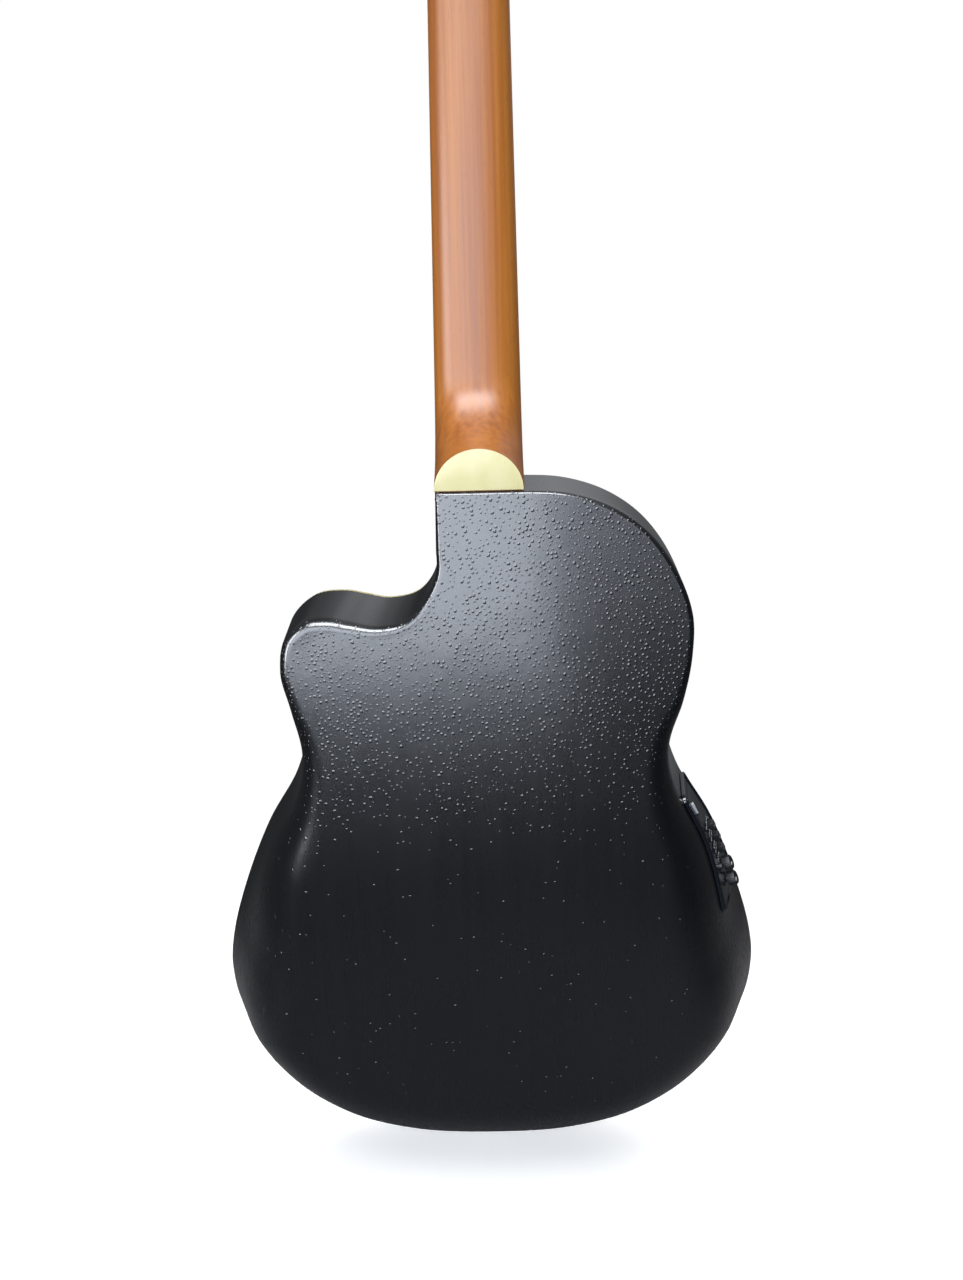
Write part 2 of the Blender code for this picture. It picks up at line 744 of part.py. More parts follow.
def brace(name, ends, width, height):
    """A bar glued under the soundboard between two (x, z) points, tapered down at its ends."""
    (x0, z0), (x1, z1) = ends
    long_ = math.dist(*ends)
    across = Vector((z0 - z1, x1 - x0)) / long_ * width / 2
    y0 = TOP_THICK + GAP
    side = [(0.0, y0), (long_, y0), (long_, y0 + 0.4 * height), (long_ - BRACE_TAPER, y0 + height),
            (BRACE_TAPER, y0 + height), (0.0, y0 + 0.4 * height)]

    def place(a, b, c):
        share, way = a / long_, math.copysign(1.0, c)
        return (x0 + (x1 - x0) * share + across[0] * way, b, z0 + (z1 - z0) * share + across[1] * way)

    return prism(name, [side], -1.0, 1.0, BRACE, place=place)


lining_edge = inset(lining_in + lining_drop.max() + LINING_WIDE + GAP)


def cross_brace(name, z):
    """A brace from lining to lining at a height."""
    ends = []
    for side in (-1, 1):
        flank = lining_edge[lining_edge[:, 0] * side > BODY_WIDTH / 5]
        flank = flank[np.argsort(flank[:, 1])]
        levels = [JOINT_Z - z + away for away in (-BRACE_WIDE / 2, 0.0, BRACE_WIDE / 2)]
        ends.append((side * float(np.interp(levels, flank[:, 1], abs(flank[:, 0])).min()), z))
    brace(name, ends, BRACE_WIDE, BRACE_HIGH)


cross_brace("upper_brace", HOLE_Z + HOLE_RADIUS + BRACE_AWAY)
lower_z = HOLE_Z - HOLE_RADIUS - BRACE_AWAY
cross_brace("lower_brace", lower_z)
fan_top = lower_z - BRACE_WIDE / 2 - 3.0
fan_foot = JOINT_Z - 0.88 * BODY_LENGTH
for number, way in enumerate((-1, 0, 1), 1):
    ends = [(way * FAN_FOOT_APART, fan_foot), (way * FAN_TOP_APART, fan_top)]
    brace(f"fan_strut_{number}", ends, FAN_WIDE, FAN_HIGH)

# Bridge and saddle

SADDLE_TOP_Y = STRING_Y_SADDLE + max(STRING_RADII) + GAP


def bridge_z(below):
    return SADDLE_Z - below


slot_half = SADDLE_THICK / 2 + GAP
tie_back = BRIDGE_LONG - BRIDGE_AHEAD
bridge_side = [
    (bridge_z(-BRIDGE_AHEAD), -GAP),
    (bridge_z(-BRIDGE_AHEAD), BRIDGE_TOP_Y + 2.0),
    (bridge_z(-BRIDGE_AHEAD + 1.5), BRIDGE_TOP_Y),
    (bridge_z(-slot_half), BRIDGE_TOP_Y),
    (bridge_z(-slot_half), SLOT_FLOOR_Y),
    (bridge_z(slot_half), SLOT_FLOOR_Y),
    (bridge_z(slot_half), BRIDGE_TOP_Y),
    (bridge_z(slot_half + 1.4), BRIDGE_TOP_Y),
    (bridge_z(TIE_FRONT - 3.0), STRING_HOLE_Y + 2.0),
    (bridge_z(TIE_FRONT), STRING_HOLE_Y + 2.0),
    (bridge_z(TIE_FRONT), TIE_TOP_Y),
    (bridge_z(tie_back), TIE_TOP_Y),
    (bridge_z(tie_back), -GAP),
]
bridge = prism(
    "bridge",
    [bridge_side],
    -BRIDGE_CENTRE / 2,
    BRIDGE_CENTRE / 2,
    ROSEWOOD,
    place=lambda a, b, c: (c, b, a),
)
for side in (-1, 1):
    near, far = side * (BRIDGE_CENTRE / 2 - 0.5), side * BRIDGE_WIDE / 2
    wing = prism(
        "cut_wing",
        [[(near, bridge_z(-BRIDGE_AHEAD)), (far - side * 4, bridge_z(-BRIDGE_AHEAD)),
          (far, bridge_z(-BRIDGE_AHEAD + 5)), (far, bridge_z(tie_back - 5)),
          (far - side * 4, bridge_z(tie_back)), (near, bridge_z(tie_back))]],
        -GAP - WING_THICK,
        -GAP,
        ROSEWOOD,
    )
    apply_boolean(bridge, wing, "UNION")

spread = [(2.5 - i) / 5 for i in range(6)]  # from the treble side, as a share of the spread
saddle_x = [SADDLE_SPREAD * s for s in spread]
nut_x = [NUT_SPREAD * s for s in spread]


def joined(pieces):
    """One mesh from several (points, faces), for a cutter of separate solids."""
    points, faces = [], []
    for more, sides in pieces:
        faces += [tuple(i + len(points) for i in f) for f in sides]
        points += more
    return points, faces


def round_bar(centre, direction, radius, low, high, count=10):
    """Points and faces of a round bar along a direction through a point."""
    at = frame_of(centre, (0.3, 0.2, 0.93) if abs(direction[0]) > 0.9 else (1, 0, 0), direction)
    rings = [[tuple(at @ Vector((x, y, h))) for x, y in circle(radius, count)] for h in (low, high)]
    return loft_mesh(rings)


tie_bores = [
    round_bar((x, STRING_HOLE_Y, bridge_z(TIE_FRONT)), (0, 0, -1), TIE_BORE, -1.0, tie_back, 8)
    for x in saddle_x
]
apply_boolean(bridge, solid("cut_ties", *joined(tie_bores), ROSEWOOD))
for piece in (bridge, bpy.data.objects["soundboard"]):
    bore = solid("cut_lead", *round_bar((LEAD_X, 0, SADDLE_Z), (0, 1, 0), LEAD_RADIUS + GAP, -4, 4), STEEL)
    apply_boolean(piece, bore)

box(
    "saddle_pickup",
    (-SADDLE_LONG / 2, SLOT_FLOOR_Y - GAP - PICKUP_THICK, SADDLE_Z - SADDLE_THICK / 2),
    (SADDLE_LONG / 2, SLOT_FLOOR_Y - GAP, SADDLE_Z + SADDLE_THICK / 2),
    BRASS,
)
box(
    "saddle",
    (-SADDLE_LONG / 2, SADDLE_TOP_Y, SADDLE_Z - SADDLE_THICK / 2),
    (SADDLE_LONG / 2, SLOT_FLOOR_Y - 2 * GAP - PICKUP_THICK, SADDLE_Z + SADDLE_THICK / 2),
    BONE,
)

# Neck and head

HEEL_WOOD_Y = HEEL_DEPTH - CAP_THICK - GAP


def head_face(z):
    return (z + FACE_LIFT) * math.tan(HEAD_TILT)


def heel_cap_half(above):
    share = (max(above, HEEL_FOOT) - HEEL_FOOT) / (HEEL_APEX - HEEL_FOOT)
    return HEEL_HALF * math.sqrt(max(0.0, 1 - share * share))


def neck_deep(above):
    """Depth of the neck's back from its top, at a height above the joint."""
    if above >= HEEL_START:
        share = (above - HEEL_START) / (SCALE_LENGTH / 2 - HEEL_START)
        return NECK_DEEP_HEEL + (NECK_DEEP_NUT - NECK_DEEP_HEEL) * min(share, 1.0)
    if above >= HEEL_APEX:
        t = (HEEL_START - above) / (HEEL_START - HEEL_APEX)
        curve = 0.4 * t * t + 0.6 * (1 - math.sqrt(max(0.0, 1 - t * t)))
        return NECK_DEEP_HEEL + (HEEL_WOOD_Y - NECK_DEEP_HEEL) * curve
    full = 1 - (heel_cap_half(above) / neck_half(above)) ** SIDE_POWER
    return HEEL_WOOD_Y / full ** (1 / BACK_POWER)


def neck_section(z, half, top, deep, count=16):
    ring = []
    for i in range(count + 1):
        turn = math.pi * i / count
        x = half * math.copysign(abs(math.cos(turn)) ** (2 / SIDE_POWER), math.cos(turn))
        ring.append((x, top + (deep - top) * math.sin(turn) ** (2 / BACK_POWER), z))
    return ring


def between(low, high, shares):
    return [low + (high - low) * share for share in shares]


stations = between(HEEL_FOOT, HEEL_APEX, (-0.16, 0.0, 0.2, 0.4, 0.6, 0.75, 0.87, 0.95, 1.0))
stations += between(HEEL_APEX, HEEL_START, (0.02, 0.055, 0.12, 0.22, 0.34, 0.51, 0.73, 1.0))
stations += between(HEEL_START, SCALE_LENGTH / 2, (0.17, 0.52, 0.865))
rings = [neck_section(JOINT_Z + above, neck_half(above), 0.0, neck_deep(above)) for above in stations]
# The neck thickens behind the nut, where the head leaves it.
rings.append(neck_section(-FACE_LIFT, NUT_WIDTH / 2, 0.0, NECK_DEEP_NUT + 2.5))
rings.append(neck_section(0.0, NUT_WIDTH / 2 + 0.6, head_face(0.0) + 0.15, NECK_DEEP_NUT + 4.5))
rings.append(neck_section(5.0, NUT_WIDTH / 2 + 0.8, head_face(5.0) + 2.0, NECK_DEEP_NUT + 3.5))
neck = loft("neck", rings, MAHOGANY)

past = HEEL_DEPTH + 22.0
foot_edge = [
    (-past, JOINT_Z + GAP),
    (RIM_Y, JOINT_Z + GAP),
    (past, JOINT_Z + GAP - (past - RIM_Y) * heel_slope),
    (past, JOINT_Z - past),
    (-past, JOINT_Z - past),
]
apply_boolean(
    neck,
    prism("cut_foot", [foot_edge], -JOINT_WIDTH, JOINT_WIDTH, MAHOGANY, place=lambda a, b, c: (c, a, b)),
)
cap_room = box(
    "cut_cap",
    (-JOINT_WIDTH, HEEL_WOOD_Y, JOINT_Z - past),
    (JOINT_WIDTH, HEEL_WOOD_Y * 5, JOINT_Z + (HEEL_APEX + HEEL_START) / 2),
    MAHOGANY,
)
apply_boolean(neck, cap_room)
apply_boolean(neck, bolt_bore())

head_outline = [
    (0.0, HEAD_TOP),
    (-0.38 * HEAD_HALF, HEAD_TOP - 2.0),
    (-0.7 * HEAD_HALF, HEAD_TOP - 8.0),
    (-HEAD_HALF + 2.0, HEAD_TOP - 9.0),
    (-HEAD_HALF, HEAD_TOP - 12.0),
    (-HEAD_HALF, 3.0),
    (-HEAD_HALF + 3.0, 0.0),
    (HEAD_HALF - 3.0, 0.0),
    (HEAD_HALF, 3.0),
    (HEAD_HALF, HEAD_TOP - 12.0),
    (HEAD_HALF - 2.0, HEAD_TOP - 9.0),
    (0.7 * HEAD_HALF, HEAD_TOP - 8.0),
    (0.38 * HEAD_HALF, HEAD_TOP - 2.0),
]


def head_slot(side):
    """Outline of one string slot, with round ends."""
    middle = side * (SLOT_INNER + SLOT_OUTER) / 2
    radius = (SLOT_OUTER - SLOT_INNER) / 2
    low = SLOT_START * math.cos(HEAD_TILT) + radius
    high = SLOT_END * math.cos(HEAD_TILT) - radius
    ends = []
    for end, start in ((high, 0.0), (low, math.pi)):
        for t in np.linspace(start, start + math.pi, 7):
            ends.append((middle + radius * math.cos(t), end + radius * math.sin(t)))
    return ends


head = prism(
    "cut_head",
    [head_outline, head_slot(1), head_slot(-1)],
    0.0,
    HEAD_THICK / math.cos(HEAD_TILT),
    MAHOGANY,
    place=lambda a, b, c: (a, head_face(b) + c, b),
)
apply_boolean(neck, head, "UNION")

UP = Vector((0.0, math.sin(HEAD_TILT), math.cos(HEAD_TILT)))  # along the head
BACK = Vector((0.0, math.cos(HEAD_TILT), -math.sin(HEAD_TILT)))  # through the head, to its back
HEAD_ORIGIN = Vector((0.0, head_face(0.0), 0.0))


def on_head(x, up, back):
    return HEAD_ORIGIN + Vector((x, 0, 0)) + UP * up + BACK * back


ROLLER_BORE = ROLLER_RADIUS + 0.4
BORE_END = SLOT_INNER - 3.5
bores = joined(
    [
        round_bar(on_head(0, up, ROLLER_AXIS), (side, 0, 0), ROLLER_BORE, BORE_END, HEAD_HALF + 3, 14)
        for side in (-1, 1)
        for up in ROLLER_AT
    ]
)
apply_boolean(neck, solid("cut_rollers", *bores, MAHOGANY), smooth=True)

cap_low = JOINT_Z + HEEL_FOOT
cap_loop = [(HEEL_HALF, cap_low)]
cap_loop += [
    (HEEL_HALF * math.cos(t), cap_low + (HEEL_APEX - HEEL_FOOT) * math.sin(t))
    for t in np.linspace(0, math.pi, 17)[1:-1]
]
cap_loop += [(-HEEL_HALF, cap_low)]
prism("heel_cap", [cap_loop], HEEL_DEPTH - CAP_THICK, HEEL_DEPTH, CREAM)

# Fingerboard and nut

board_front = -GAP - BOARD_THICK
board_side = [(NUT_Z - GAP, -GAP), (NUT_Z - GAP, board_front)]
for number in range(1, FRETS + 1):
    at = NUT_Z - SCALE_LENGTH * (1 - 2 ** (-number / 12))
    half = FRET_WIDE / 2
    board_side += [(at + half, board_front), (at + half * 0.45, board_front - FRET_HIGH)]
    board_side += [(at - half * 0.45, board_front - FRET_HIGH), (at - half, board_front)]
board_side += [(BOARD_END, board_front), (BOARD_END, -GAP)]
prism(
    "fingerboard",
    [board_side],
    -1.0,
    1.0,
    ROSEWOOD,
    place=lambda a, b, c: (c * neck_half(a - JOINT_Z), b, a),
)

NUT_THICK = FACE_LIFT * -1 - NUT_Z
nut_front = STRING_Y_NUT - 0.6
nut_edge = [(-NUT_WIDTH / 2 + 0.3, -GAP), (-NUT_WIDTH / 2 + 0.3, nut_front)]
for x, radius in zip(reversed(nut_x), reversed(STRING_RADII)):
    side = radius + 0.25
    nut_edge += [(x - side, nut_front), (x - side, STRING_Y_NUT + side)]
    nut_edge += [(x + side, STRING_Y_NUT + side), (x + side, nut_front)]
nut_edge += [(NUT_WIDTH / 2 - 0.3, nut_front), (NUT_WIDTH / 2 - 0.3, -GAP)]
prism("nut", [nut_edge], NUT_Z, NUT_Z + NUT_THICK, BONE, place=lambda a, b, c: (a, b, c))

# Tuning machines

PLATE_FACE = HEAD_HALF + GAP + PLATE_THICK  # outer face of a side plate, from the centre line
GEAR_MIDDLE = PLATE_FACE + GAP + WORM_TIP


def axis_frame(x, up, back, along):
    """Placement on the head: Z along the given direction, X towards the nut."""
    return frame_of(on_head(x, up, back), -UP, along)


TOOTH_SPACE = math.pi * GEAR_ROOT / TEETH  # from a tooth's middle to the gap beside it


def gear_outline():
    """The gear's edge, with one tooth centred on local X, where the worm is."""
    edge = []
    for tooth in range(TEETH):
        middle = 2 * math.pi * tooth / TEETH
        for radius, away in ((GEAR_TIP, -0.32), (GEAR_TIP, 0.32), (GEAR_ROOT, TOOTH_SPACE)):
            turn = middle + away / radius
            edge.append((radius * math.cos(turn), radius * math.sin(turn)))
    return edge


def roller_mesh(side):
    """The roller and its gear as one piece, along local Z towards the given side."""
    inner = BORE_END + GAP + 0.2
    neck_end = HEAD_HALF - GAP
    gear_low, gear_high = GEAR_MIDDLE - GEAR_WIDE / 2, GEAR_MIDDLE + GEAR_WIDE / 2
    body = lathe(
        "roller",
        [
            (ROLLER_RADIUS - 0.4, side * inner),
            (ROLLER_RADIUS, side * (inner + 0.6)),
            (ROLLER_RADIUS, side * neck_end),
            (HUB_RADIUS, side * neck_end),
            (HUB_RADIUS, side * (gear_high + 0.9)),
        ],
        12,
        BONE,
    )
    ends = (side * gear_low, side * gear_high)
    gear = prism("cut_gear", [gear_outline()], *ends, BRASS, place=lambda a, b, c: (a, b, c))
    apply_boolean(body, gear, "UNION", smooth=True)
    mesh = body.data
    bpy.data.objects.remove(body)
    return mesh


def worm_mesh():
    """A shaft with a right-hand thread of the gear's pitch. Local Z runs to the back."""
    per_turn = 8
    rings = []
    for i in range(int(WORM_TURNS * per_turn) + 1):
        turn = 2 * math.pi * i / per_turn
        z = WORM_LEAD * (i / per_turn - WORM_TURNS / 2)
        section = ((WORM_ROOT - 0.3, -0.5), (WORM_TIP, 0.0), (WORM_ROOT - 0.3, 0.5))
        rings.append([(r * math.cos(turn), r * math.sin(turn), z + h) for r, h in section])
    shaft_end = BUTTON_START - ROLLER_AXIS + 7.0
    low = -LUG_AWAY - LUG_THICK / 2 - 0.4
    shaft = lathe(
        "worm",
        [
            (SHAFT_RADIUS, low),
            (SHAFT_RADIUS, -LUG_AWAY + LUG_THICK / 2 + GAP),
            (WORM_ROOT, -LUG_AWAY + LUG_THICK / 2 + GAP),
            (WORM_ROOT, LUG_AWAY - LUG_THICK / 2 - GAP),
            (SHAFT_RADIUS, LUG_AWAY - LUG_THICK / 2 - GAP),
            (SHAFT_RADIUS, shaft_end),
        ],
        8,
        STEEL,
    )
    apply_boolean(shaft, loft("cut_thread", rings, STEEL), "UNION", smooth=True)
    mesh = shaft.data
    bpy.data.objects.remove(shaft)
    return mesh


def button_mesh():
    """An oval grip on the worm's shaft, wider than it is thick."""
    start = BUTTON_START - ROLLER_AXIS
    steps = (  # share of its length, half width, half thickness
        (0.0, 3.2, 3.2), (0.09, 4.2, 3.6), (0.28, 6.6, 4.2),
        (0.72, 6.8, 4.3), (0.91, 5.6, 3.6), (1.0, 3.4, 2.2),
    )
    rings = [[(x * b, y * a, start + h * BUTTON_LONG) for x, y in circle(1.0, 10)] for h, a, b in steps]
    grip = loft("button", rings, PEARL, smooth=True)
    bore = rod("cut_shaft", SHAFT_RADIUS + GAP, start - 3, start + 7.6, STEEL, count=8)
    apply_boolean(grip, bore, smooth=True)
    mesh = grip.data
    bpy.data.objects.remove(grip)
    return mesh


def placed(name, mesh, frame):
    made = bpy.data.objects.new(name, mesh)
    bpy.context.scene.collection.objects.link(made)
    where = frame.copy()
    where.translation = frame.translation * MM
    made.matrix_world = where
    return made


def tuner_plate(name, side):
    """Side plate with a hole for each roller and two bearing lugs for each worm."""
    low, high = ROLLER_AT[0] - WORM_AWAY - 6.0, ROLLER_AT[-1] + 11.0
    half = PLATE_HALF
    edge = [(low + 2, -half), (high - 2, -half), (high, -half + 2), (high, half - 2), (high - 2, half),
            (low + 2, half), (low, half - 2), (low, -half + 2)]
    holes = [circle(HUB_RADIUS + GAP + 0.1, 10, (up, 0.0)) for up in ROLLER_AT]

    def place(a, b, c):
        return tuple(on_head(side * c, a, ROLLER_AXIS + b))

    plate = prism(name, [edge] + holes, HEAD_HALF + GAP, PLATE_FACE, STEEL, place=place)
    pieces = []
    for up in ROLLER_AT:
        for away in (-LUG_AWAY, LUG_AWAY):
            at = up - WORM_AWAY
            foot, top = PLATE_FACE - PLATE_THICK / 2, GEAR_MIDDLE + LUG_HALF
            outer = [(foot, at - LUG_HALF), (top, at - LUG_HALF), (top, at + LUG_HALF), (foot, at + LUG_HALF)]
            hole = circle(LUG_BORE, 8, (GEAR_MIDDLE, at))
            middle = ROLLER_AXIS + away
            pieces.append(
                prism_mesh(
                    [outer, hole],
                    middle - LUG_THICK / 2,
                    middle + LUG_THICK / 2,
                    lambda a, b, c: tuple(on_head(side * a, b, c)),
                )
            )
    lugs = solid("cut_lugs", *joined(pieces), STEEL)
    apply_boolean(plate, lugs, "UNION")


roller_meshes = {side: roller_mesh(side) for side in (1, -1)}
worm = worm_mesh()
button = button_mesh()
# Strings and their machines are numbered from the treble side; outer strings use the lowest rollers.
PLACE = ((1, 0), (1, 1), (1, 2), (-1, 2), (-1, 1), (-1, 0))
for side, word in ((1, "treble"), (-1, "bass")):
    tuner_plate(f"tuner_plate_{word}", side)
for number, (side, row) in enumerate(PLACE, 1):
    up = ROLLER_AT[row]
    placed(f"roller_{number}", roller_meshes[side], axis_frame(0.0, up, ROLLER_AXIS, (1, 0, 0)))
    spot = frame_of(on_head(side * GEAR_MIDDLE, up - WORM_AWAY, ROLLER_AXIS), (1, 0, 0), BACK)
    placed(f"worm_shaft_{number}", worm, spot)
    placed(f"tuner_button_{number}", button, spot)

# Strings


def tube(name, points, radius, look):
    """A round cord along the points, closed at its ends."""
    line = bpy.data.curves.new(name, "CURVE")
    line.dimensions = "3D"
    line.bevel_depth = radius * MM
    line.bevel_resolution = 0
    line.use_fill_caps = True
    spline = line.splines.new("POLY")
    spline.points.add(len(points) - 1)
    for spot, point in zip(spline.points, points):
        spot.co = (*[c * MM for c in point], 1.0)
    line.materials.append(look)
    made = bpy.data.objects.new(name, line)
    bpy.context.scene.collection.objects.link(made)
    return made


def least_gap(points, radius):
    """Smallest space between the tube's parts more than a third of a turn apart."""
    spots = np.array(points)
    along = np.concatenate([[0], np.cumsum(np.linalg.norm(np.diff(spots, axis=0), axis=1))])
    between = np.linalg.norm(spots[:, None] - spots[None], axis=2)
    apart = np.abs(along[:, None] - along[None]) > 12.0
    return float(between[apart].min() - 2 * radius)


def tie_points(x):
    """From the free end over the tie block, round behind it, through its hole and up to the saddle."""
    back = tie_back + 0.4
    middle_y = STRING_HOLE_Y - TIE_LOOP
    points = [(x, middle_y - TIE_LOOP, bridge_z(TIE_FRONT + 2.0))]
    for t in np.linspace(math.pi, 0, 9):
        points.append((x, middle_y + TIE_LOOP * math.cos(t), bridge_z(back + TIE_LOOP * math.sin(t))))
    points.append((x, STRING_HOLE_Y, bridge_z(TIE_FRONT - 0.4)))
    points.append((x, STRING_Y_SADDLE, bridge_z(SADDLE_THICK / 2 + 0.5)))
    points.append((x, STRING_Y_SADDLE, bridge_z(-SADDLE_THICK / 2)))
    return points


def string_points(number, side, row, radius):
    """One string from the bridge to its roller, with the free end wound on."""
    up = ROLLER_AT[row]
    x_end = side * ROLLER_X[row]
    points = tie_points(saddle_x[number - 1])
    points.append((nut_x[number - 1], STRING_Y_NUT, NUT_Z - 0.5))
    leave = Vector((nut_x[number - 1], STRING_Y_NUT, NUT_Z + NUT_THICK + 0.4))
    points.append(tuple(leave))
    loop = ROLLER_RADIUS + GAP + radius + 0.1
    local = leave - HEAD_ORIGIN
    at_up, at_back = local.dot(UP), local.dot(BACK)
    turn = 0.2
    for _ in range(8):
        rise = up + loop * math.sin(turn) - at_up
        drop = ROLLER_AXIS - loop * math.cos(turn) - at_back
        turn = math.atan2(drop, rise)
    pitch = 2 * radius + STRING_APART
    count = round(WIND_TURNS * POINTS_PER_TURN)
    for k in range(count + 1):
        share = k / POINTS_PER_TURN
        angle = turn + 2 * math.pi * share
        x = x_end + side * WIND_WAY[row] * pitch * max(0.0, share - 0.05)
        points.append(tuple(on_head(x, up + loop * math.sin(angle), ROLLER_AXIS - loop * math.cos(angle))))
    end, before = Vector(points[-1]), Vector(points[-2])
    points.append(tuple(end + (end - before).normalized() * 2.4 * radius))
    return points


for number, (side, row) in enumerate(PLACE, 1):
    radius = STRING_RADII[number - 1]
    points = string_points(number, side, row, radius)
    tube(f"string_{number}", points, radius, NYLON if number < 4 else WOUND)
    print(f"string_{number}: least gap to itself {least_gap(points, radius):.2f} mm")

# Jack in the tail


def skin_hit(origin, direction):
    """Where a line from outside meets the bowl, and the outward normal there."""
    place, normal, _, _ = SKIN.ray_cast(Vector(origin), Vector(direction).normalized())
    return place, normal if normal.dot(Vector(direction)) < 0 else -normal


jack_spot, _ = skin_hit((0.0, JACK_Y, JOINT_Z - BODY_LENGTH - 60), (0, 0, 1))
tail_slope = wall_lean[0]
jack_out = Vector((0.0, tail_slope, -1.0)).normalized()
jack_frame = frame_of(jack_spot, (1, 0, 0), jack_out)
for piece in (bowl, tail_block):
    bore = solid("cut_jack", *round_bar(jack_spot, jack_out, JACK_HOLE, -60, 10, 16), STEEL)
    apply_boolean(piece, bore, smooth=piece is bowl)
lathe(
    "endpin_jack",
    [
        (JACK_BODY, -JACK_INNER),
        (JACK_BODY, 0.5),
        (7.6, 0.5),
        (7.6, 2.2),
        (4.8, 2.8),
        (4.8, 7.6),
        (7.0, 8.6),
        (7.0, 11.4),
        (6.2, 12.2),
        (JACK_BORE, 12.2),
        (JACK_BORE, -14.0),
    ],
    14,
    STEEL,
    frame=jack_frame,
)

# Preamp in the bass side

near = int(np.argmin(np.abs(OUTLINE[:, 1] - PREAMP_D) + 1000 * (OUTLINE[:, 0] > 0)))
bass = OUTLINE[near - 5 : near + 6]
run = np.interp([PREAMP_D - 30, PREAMP_D, PREAMP_D + 30], bass[:, 1], bass[:, 0])
toward_neck = Vector((run[0] - run[2], 0.0, 60.0)).normalized()
PREAMP = frame_of((run[1], 0.0, JOINT_Z - PREAMP_D), toward_neck, toward_neck.cross(Vector((0, 1, 0))))


def skin_height(p, y):
    """How far the bowl's outside stands out at a point of the preamp's own axes."""
    out = PREAMP.col[2].to_3d()
    spot, _ = skin_hit(PREAMP @ Vector((p, y, 90.0)), -out)
    return (spot - PREAMP.translation).dot(out)


def draped_mesh(loops, low, high, both=True):
    """A flat shape in the preamp's axes laid on the bowl: its outer end, or both ends, follow the skin."""
    points, faces = prism_mesh(loops, low, high, lambda a, b, c: (a, b, c))
    build = bmesh.new()
    spots = [build.verts.new(p) for p in points]
    for face in faces:
        build.faces.new([spots[i] for i in face])
    middle = (low + high) / 2
    for axis, normal in ((0, (1, 0, 0)), (1, (0, 1, 0))):
        values = [p[axis] for p in points]
        for k in range(math.ceil(min(values) / DRAPE_STEP + 0.1), math.ceil(max(values) / DRAPE_STEP - 0.1)):
            at = [0.0, 0.0, 0.0]
            at[axis] = k * DRAPE_STEP
            everything = build.verts[:] + build.edges[:] + build.faces[:]
            bmesh.ops.bisect_plane(build, geom=everything, plane_co=at, plane_no=normal, dist=1e-5)
    for vert in build.verts:
        if both or vert.co.z > middle:
            vert.co.z += skin_height(vert.co.x, vert.co.y)
    bmesh.ops.triangulate(build, faces=build.faces[:])
    build.verts.index_update()
    points = [tuple(v.co) for v in build.verts]
    faces = [tuple(v.index for v in f.verts) for f in build.faces]
    build.free()
    return points, faces


def rounded(p0, p1, y0, y1, radius, count=4):
    """A rectangle with round corners."""
    loop = []
    for cp, cy, start in ((p1, y1, 0), (p0, y1, 90), (p0, y0, 180), (p1, y0, 270)):
        sp, sy = (-1 if cp == p1 else 1), (-1 if cy == y1 else 1)
        for t in np.linspace(math.radians(start), math.radians(start + 90), count):
            loop.append((cp + sp * radius + radius * math.cos(t), cy + sy * radius + radius * math.sin(t)))
    return loop


def preamp_box(name, p, y, q):
    return box(name, (p[0], y[0], q[0]), (p[1], y[1], q[1]), CASE, frame=PREAMP)


housing_p = (HOUSING_LOW, HOUSING_HIGH)
opening = preamp_box(
    "cut_opening",
    (HOUSING_LOW - GAP, HOUSING_HIGH + GAP),
    (HOUSING_Y[0] - GAP, HOUSING_Y[1] + GAP),
    (-50.0, 30.0),
)
apply_boolean(bowl, opening, smooth=True)

plate_half = PREAMP_LONG / 2
faceplate = solid(
    "preamp_faceplate",
    *draped_mesh([rounded(-plate_half, plate_half, *PREAMP_Y, PLATE_ROUND)], PLATE_UNDER, PLATE_OVER),
    CASE,
    frame=PREAMP,
)
door_p = (DRAWER_AT - DRAWER_HALF, DRAWER_AT + DRAWER_HALF)
door_y = (BAY_Y - DRAWER_TALL, BAY_Y + DRAWER_TALL)
bay_p = (door_p[0] - GAP, door_p[1] + GAP)
bay_y = (door_y[0] - GAP, door_y[1] + GAP)
cutters = [preamp_box("cut_door", bay_p, bay_y, (-60, 40))]


def surface_frame(p, y, span):
    """Placement on the faceplate's outside, Y along the section and Z outwards, over a span of the section.

    It also gives how far the plate's outer and inner faces reach past the chord."""
    y0, y1 = y - span / 2, y + span / 2
    h0, h1 = skin_height(p, y0), skin_height(p, y1)
    along = Vector((0.0, y1 - y0, h1 - h0)).normalized()
    out = Vector((0.0, -along.z, along.y))
    start = Vector((p, y, (h0 + h1) / 2))
    reach = [
        (Vector((p + side, v, skin_height(p + side, v))) - start).dot(out)
        for v in np.linspace(y0, y1, 9)
        for side in (-2.5, 2.5)
    ]
    turn = PREAMP.to_3x3()
    frame = frame_of(PREAMP @ start, turn @ Vector((1, 0, 0)), turn @ out)
    return frame, max(reach) + PLATE_OVER * out.z, min(reach) + PLATE_UNDER * out.z


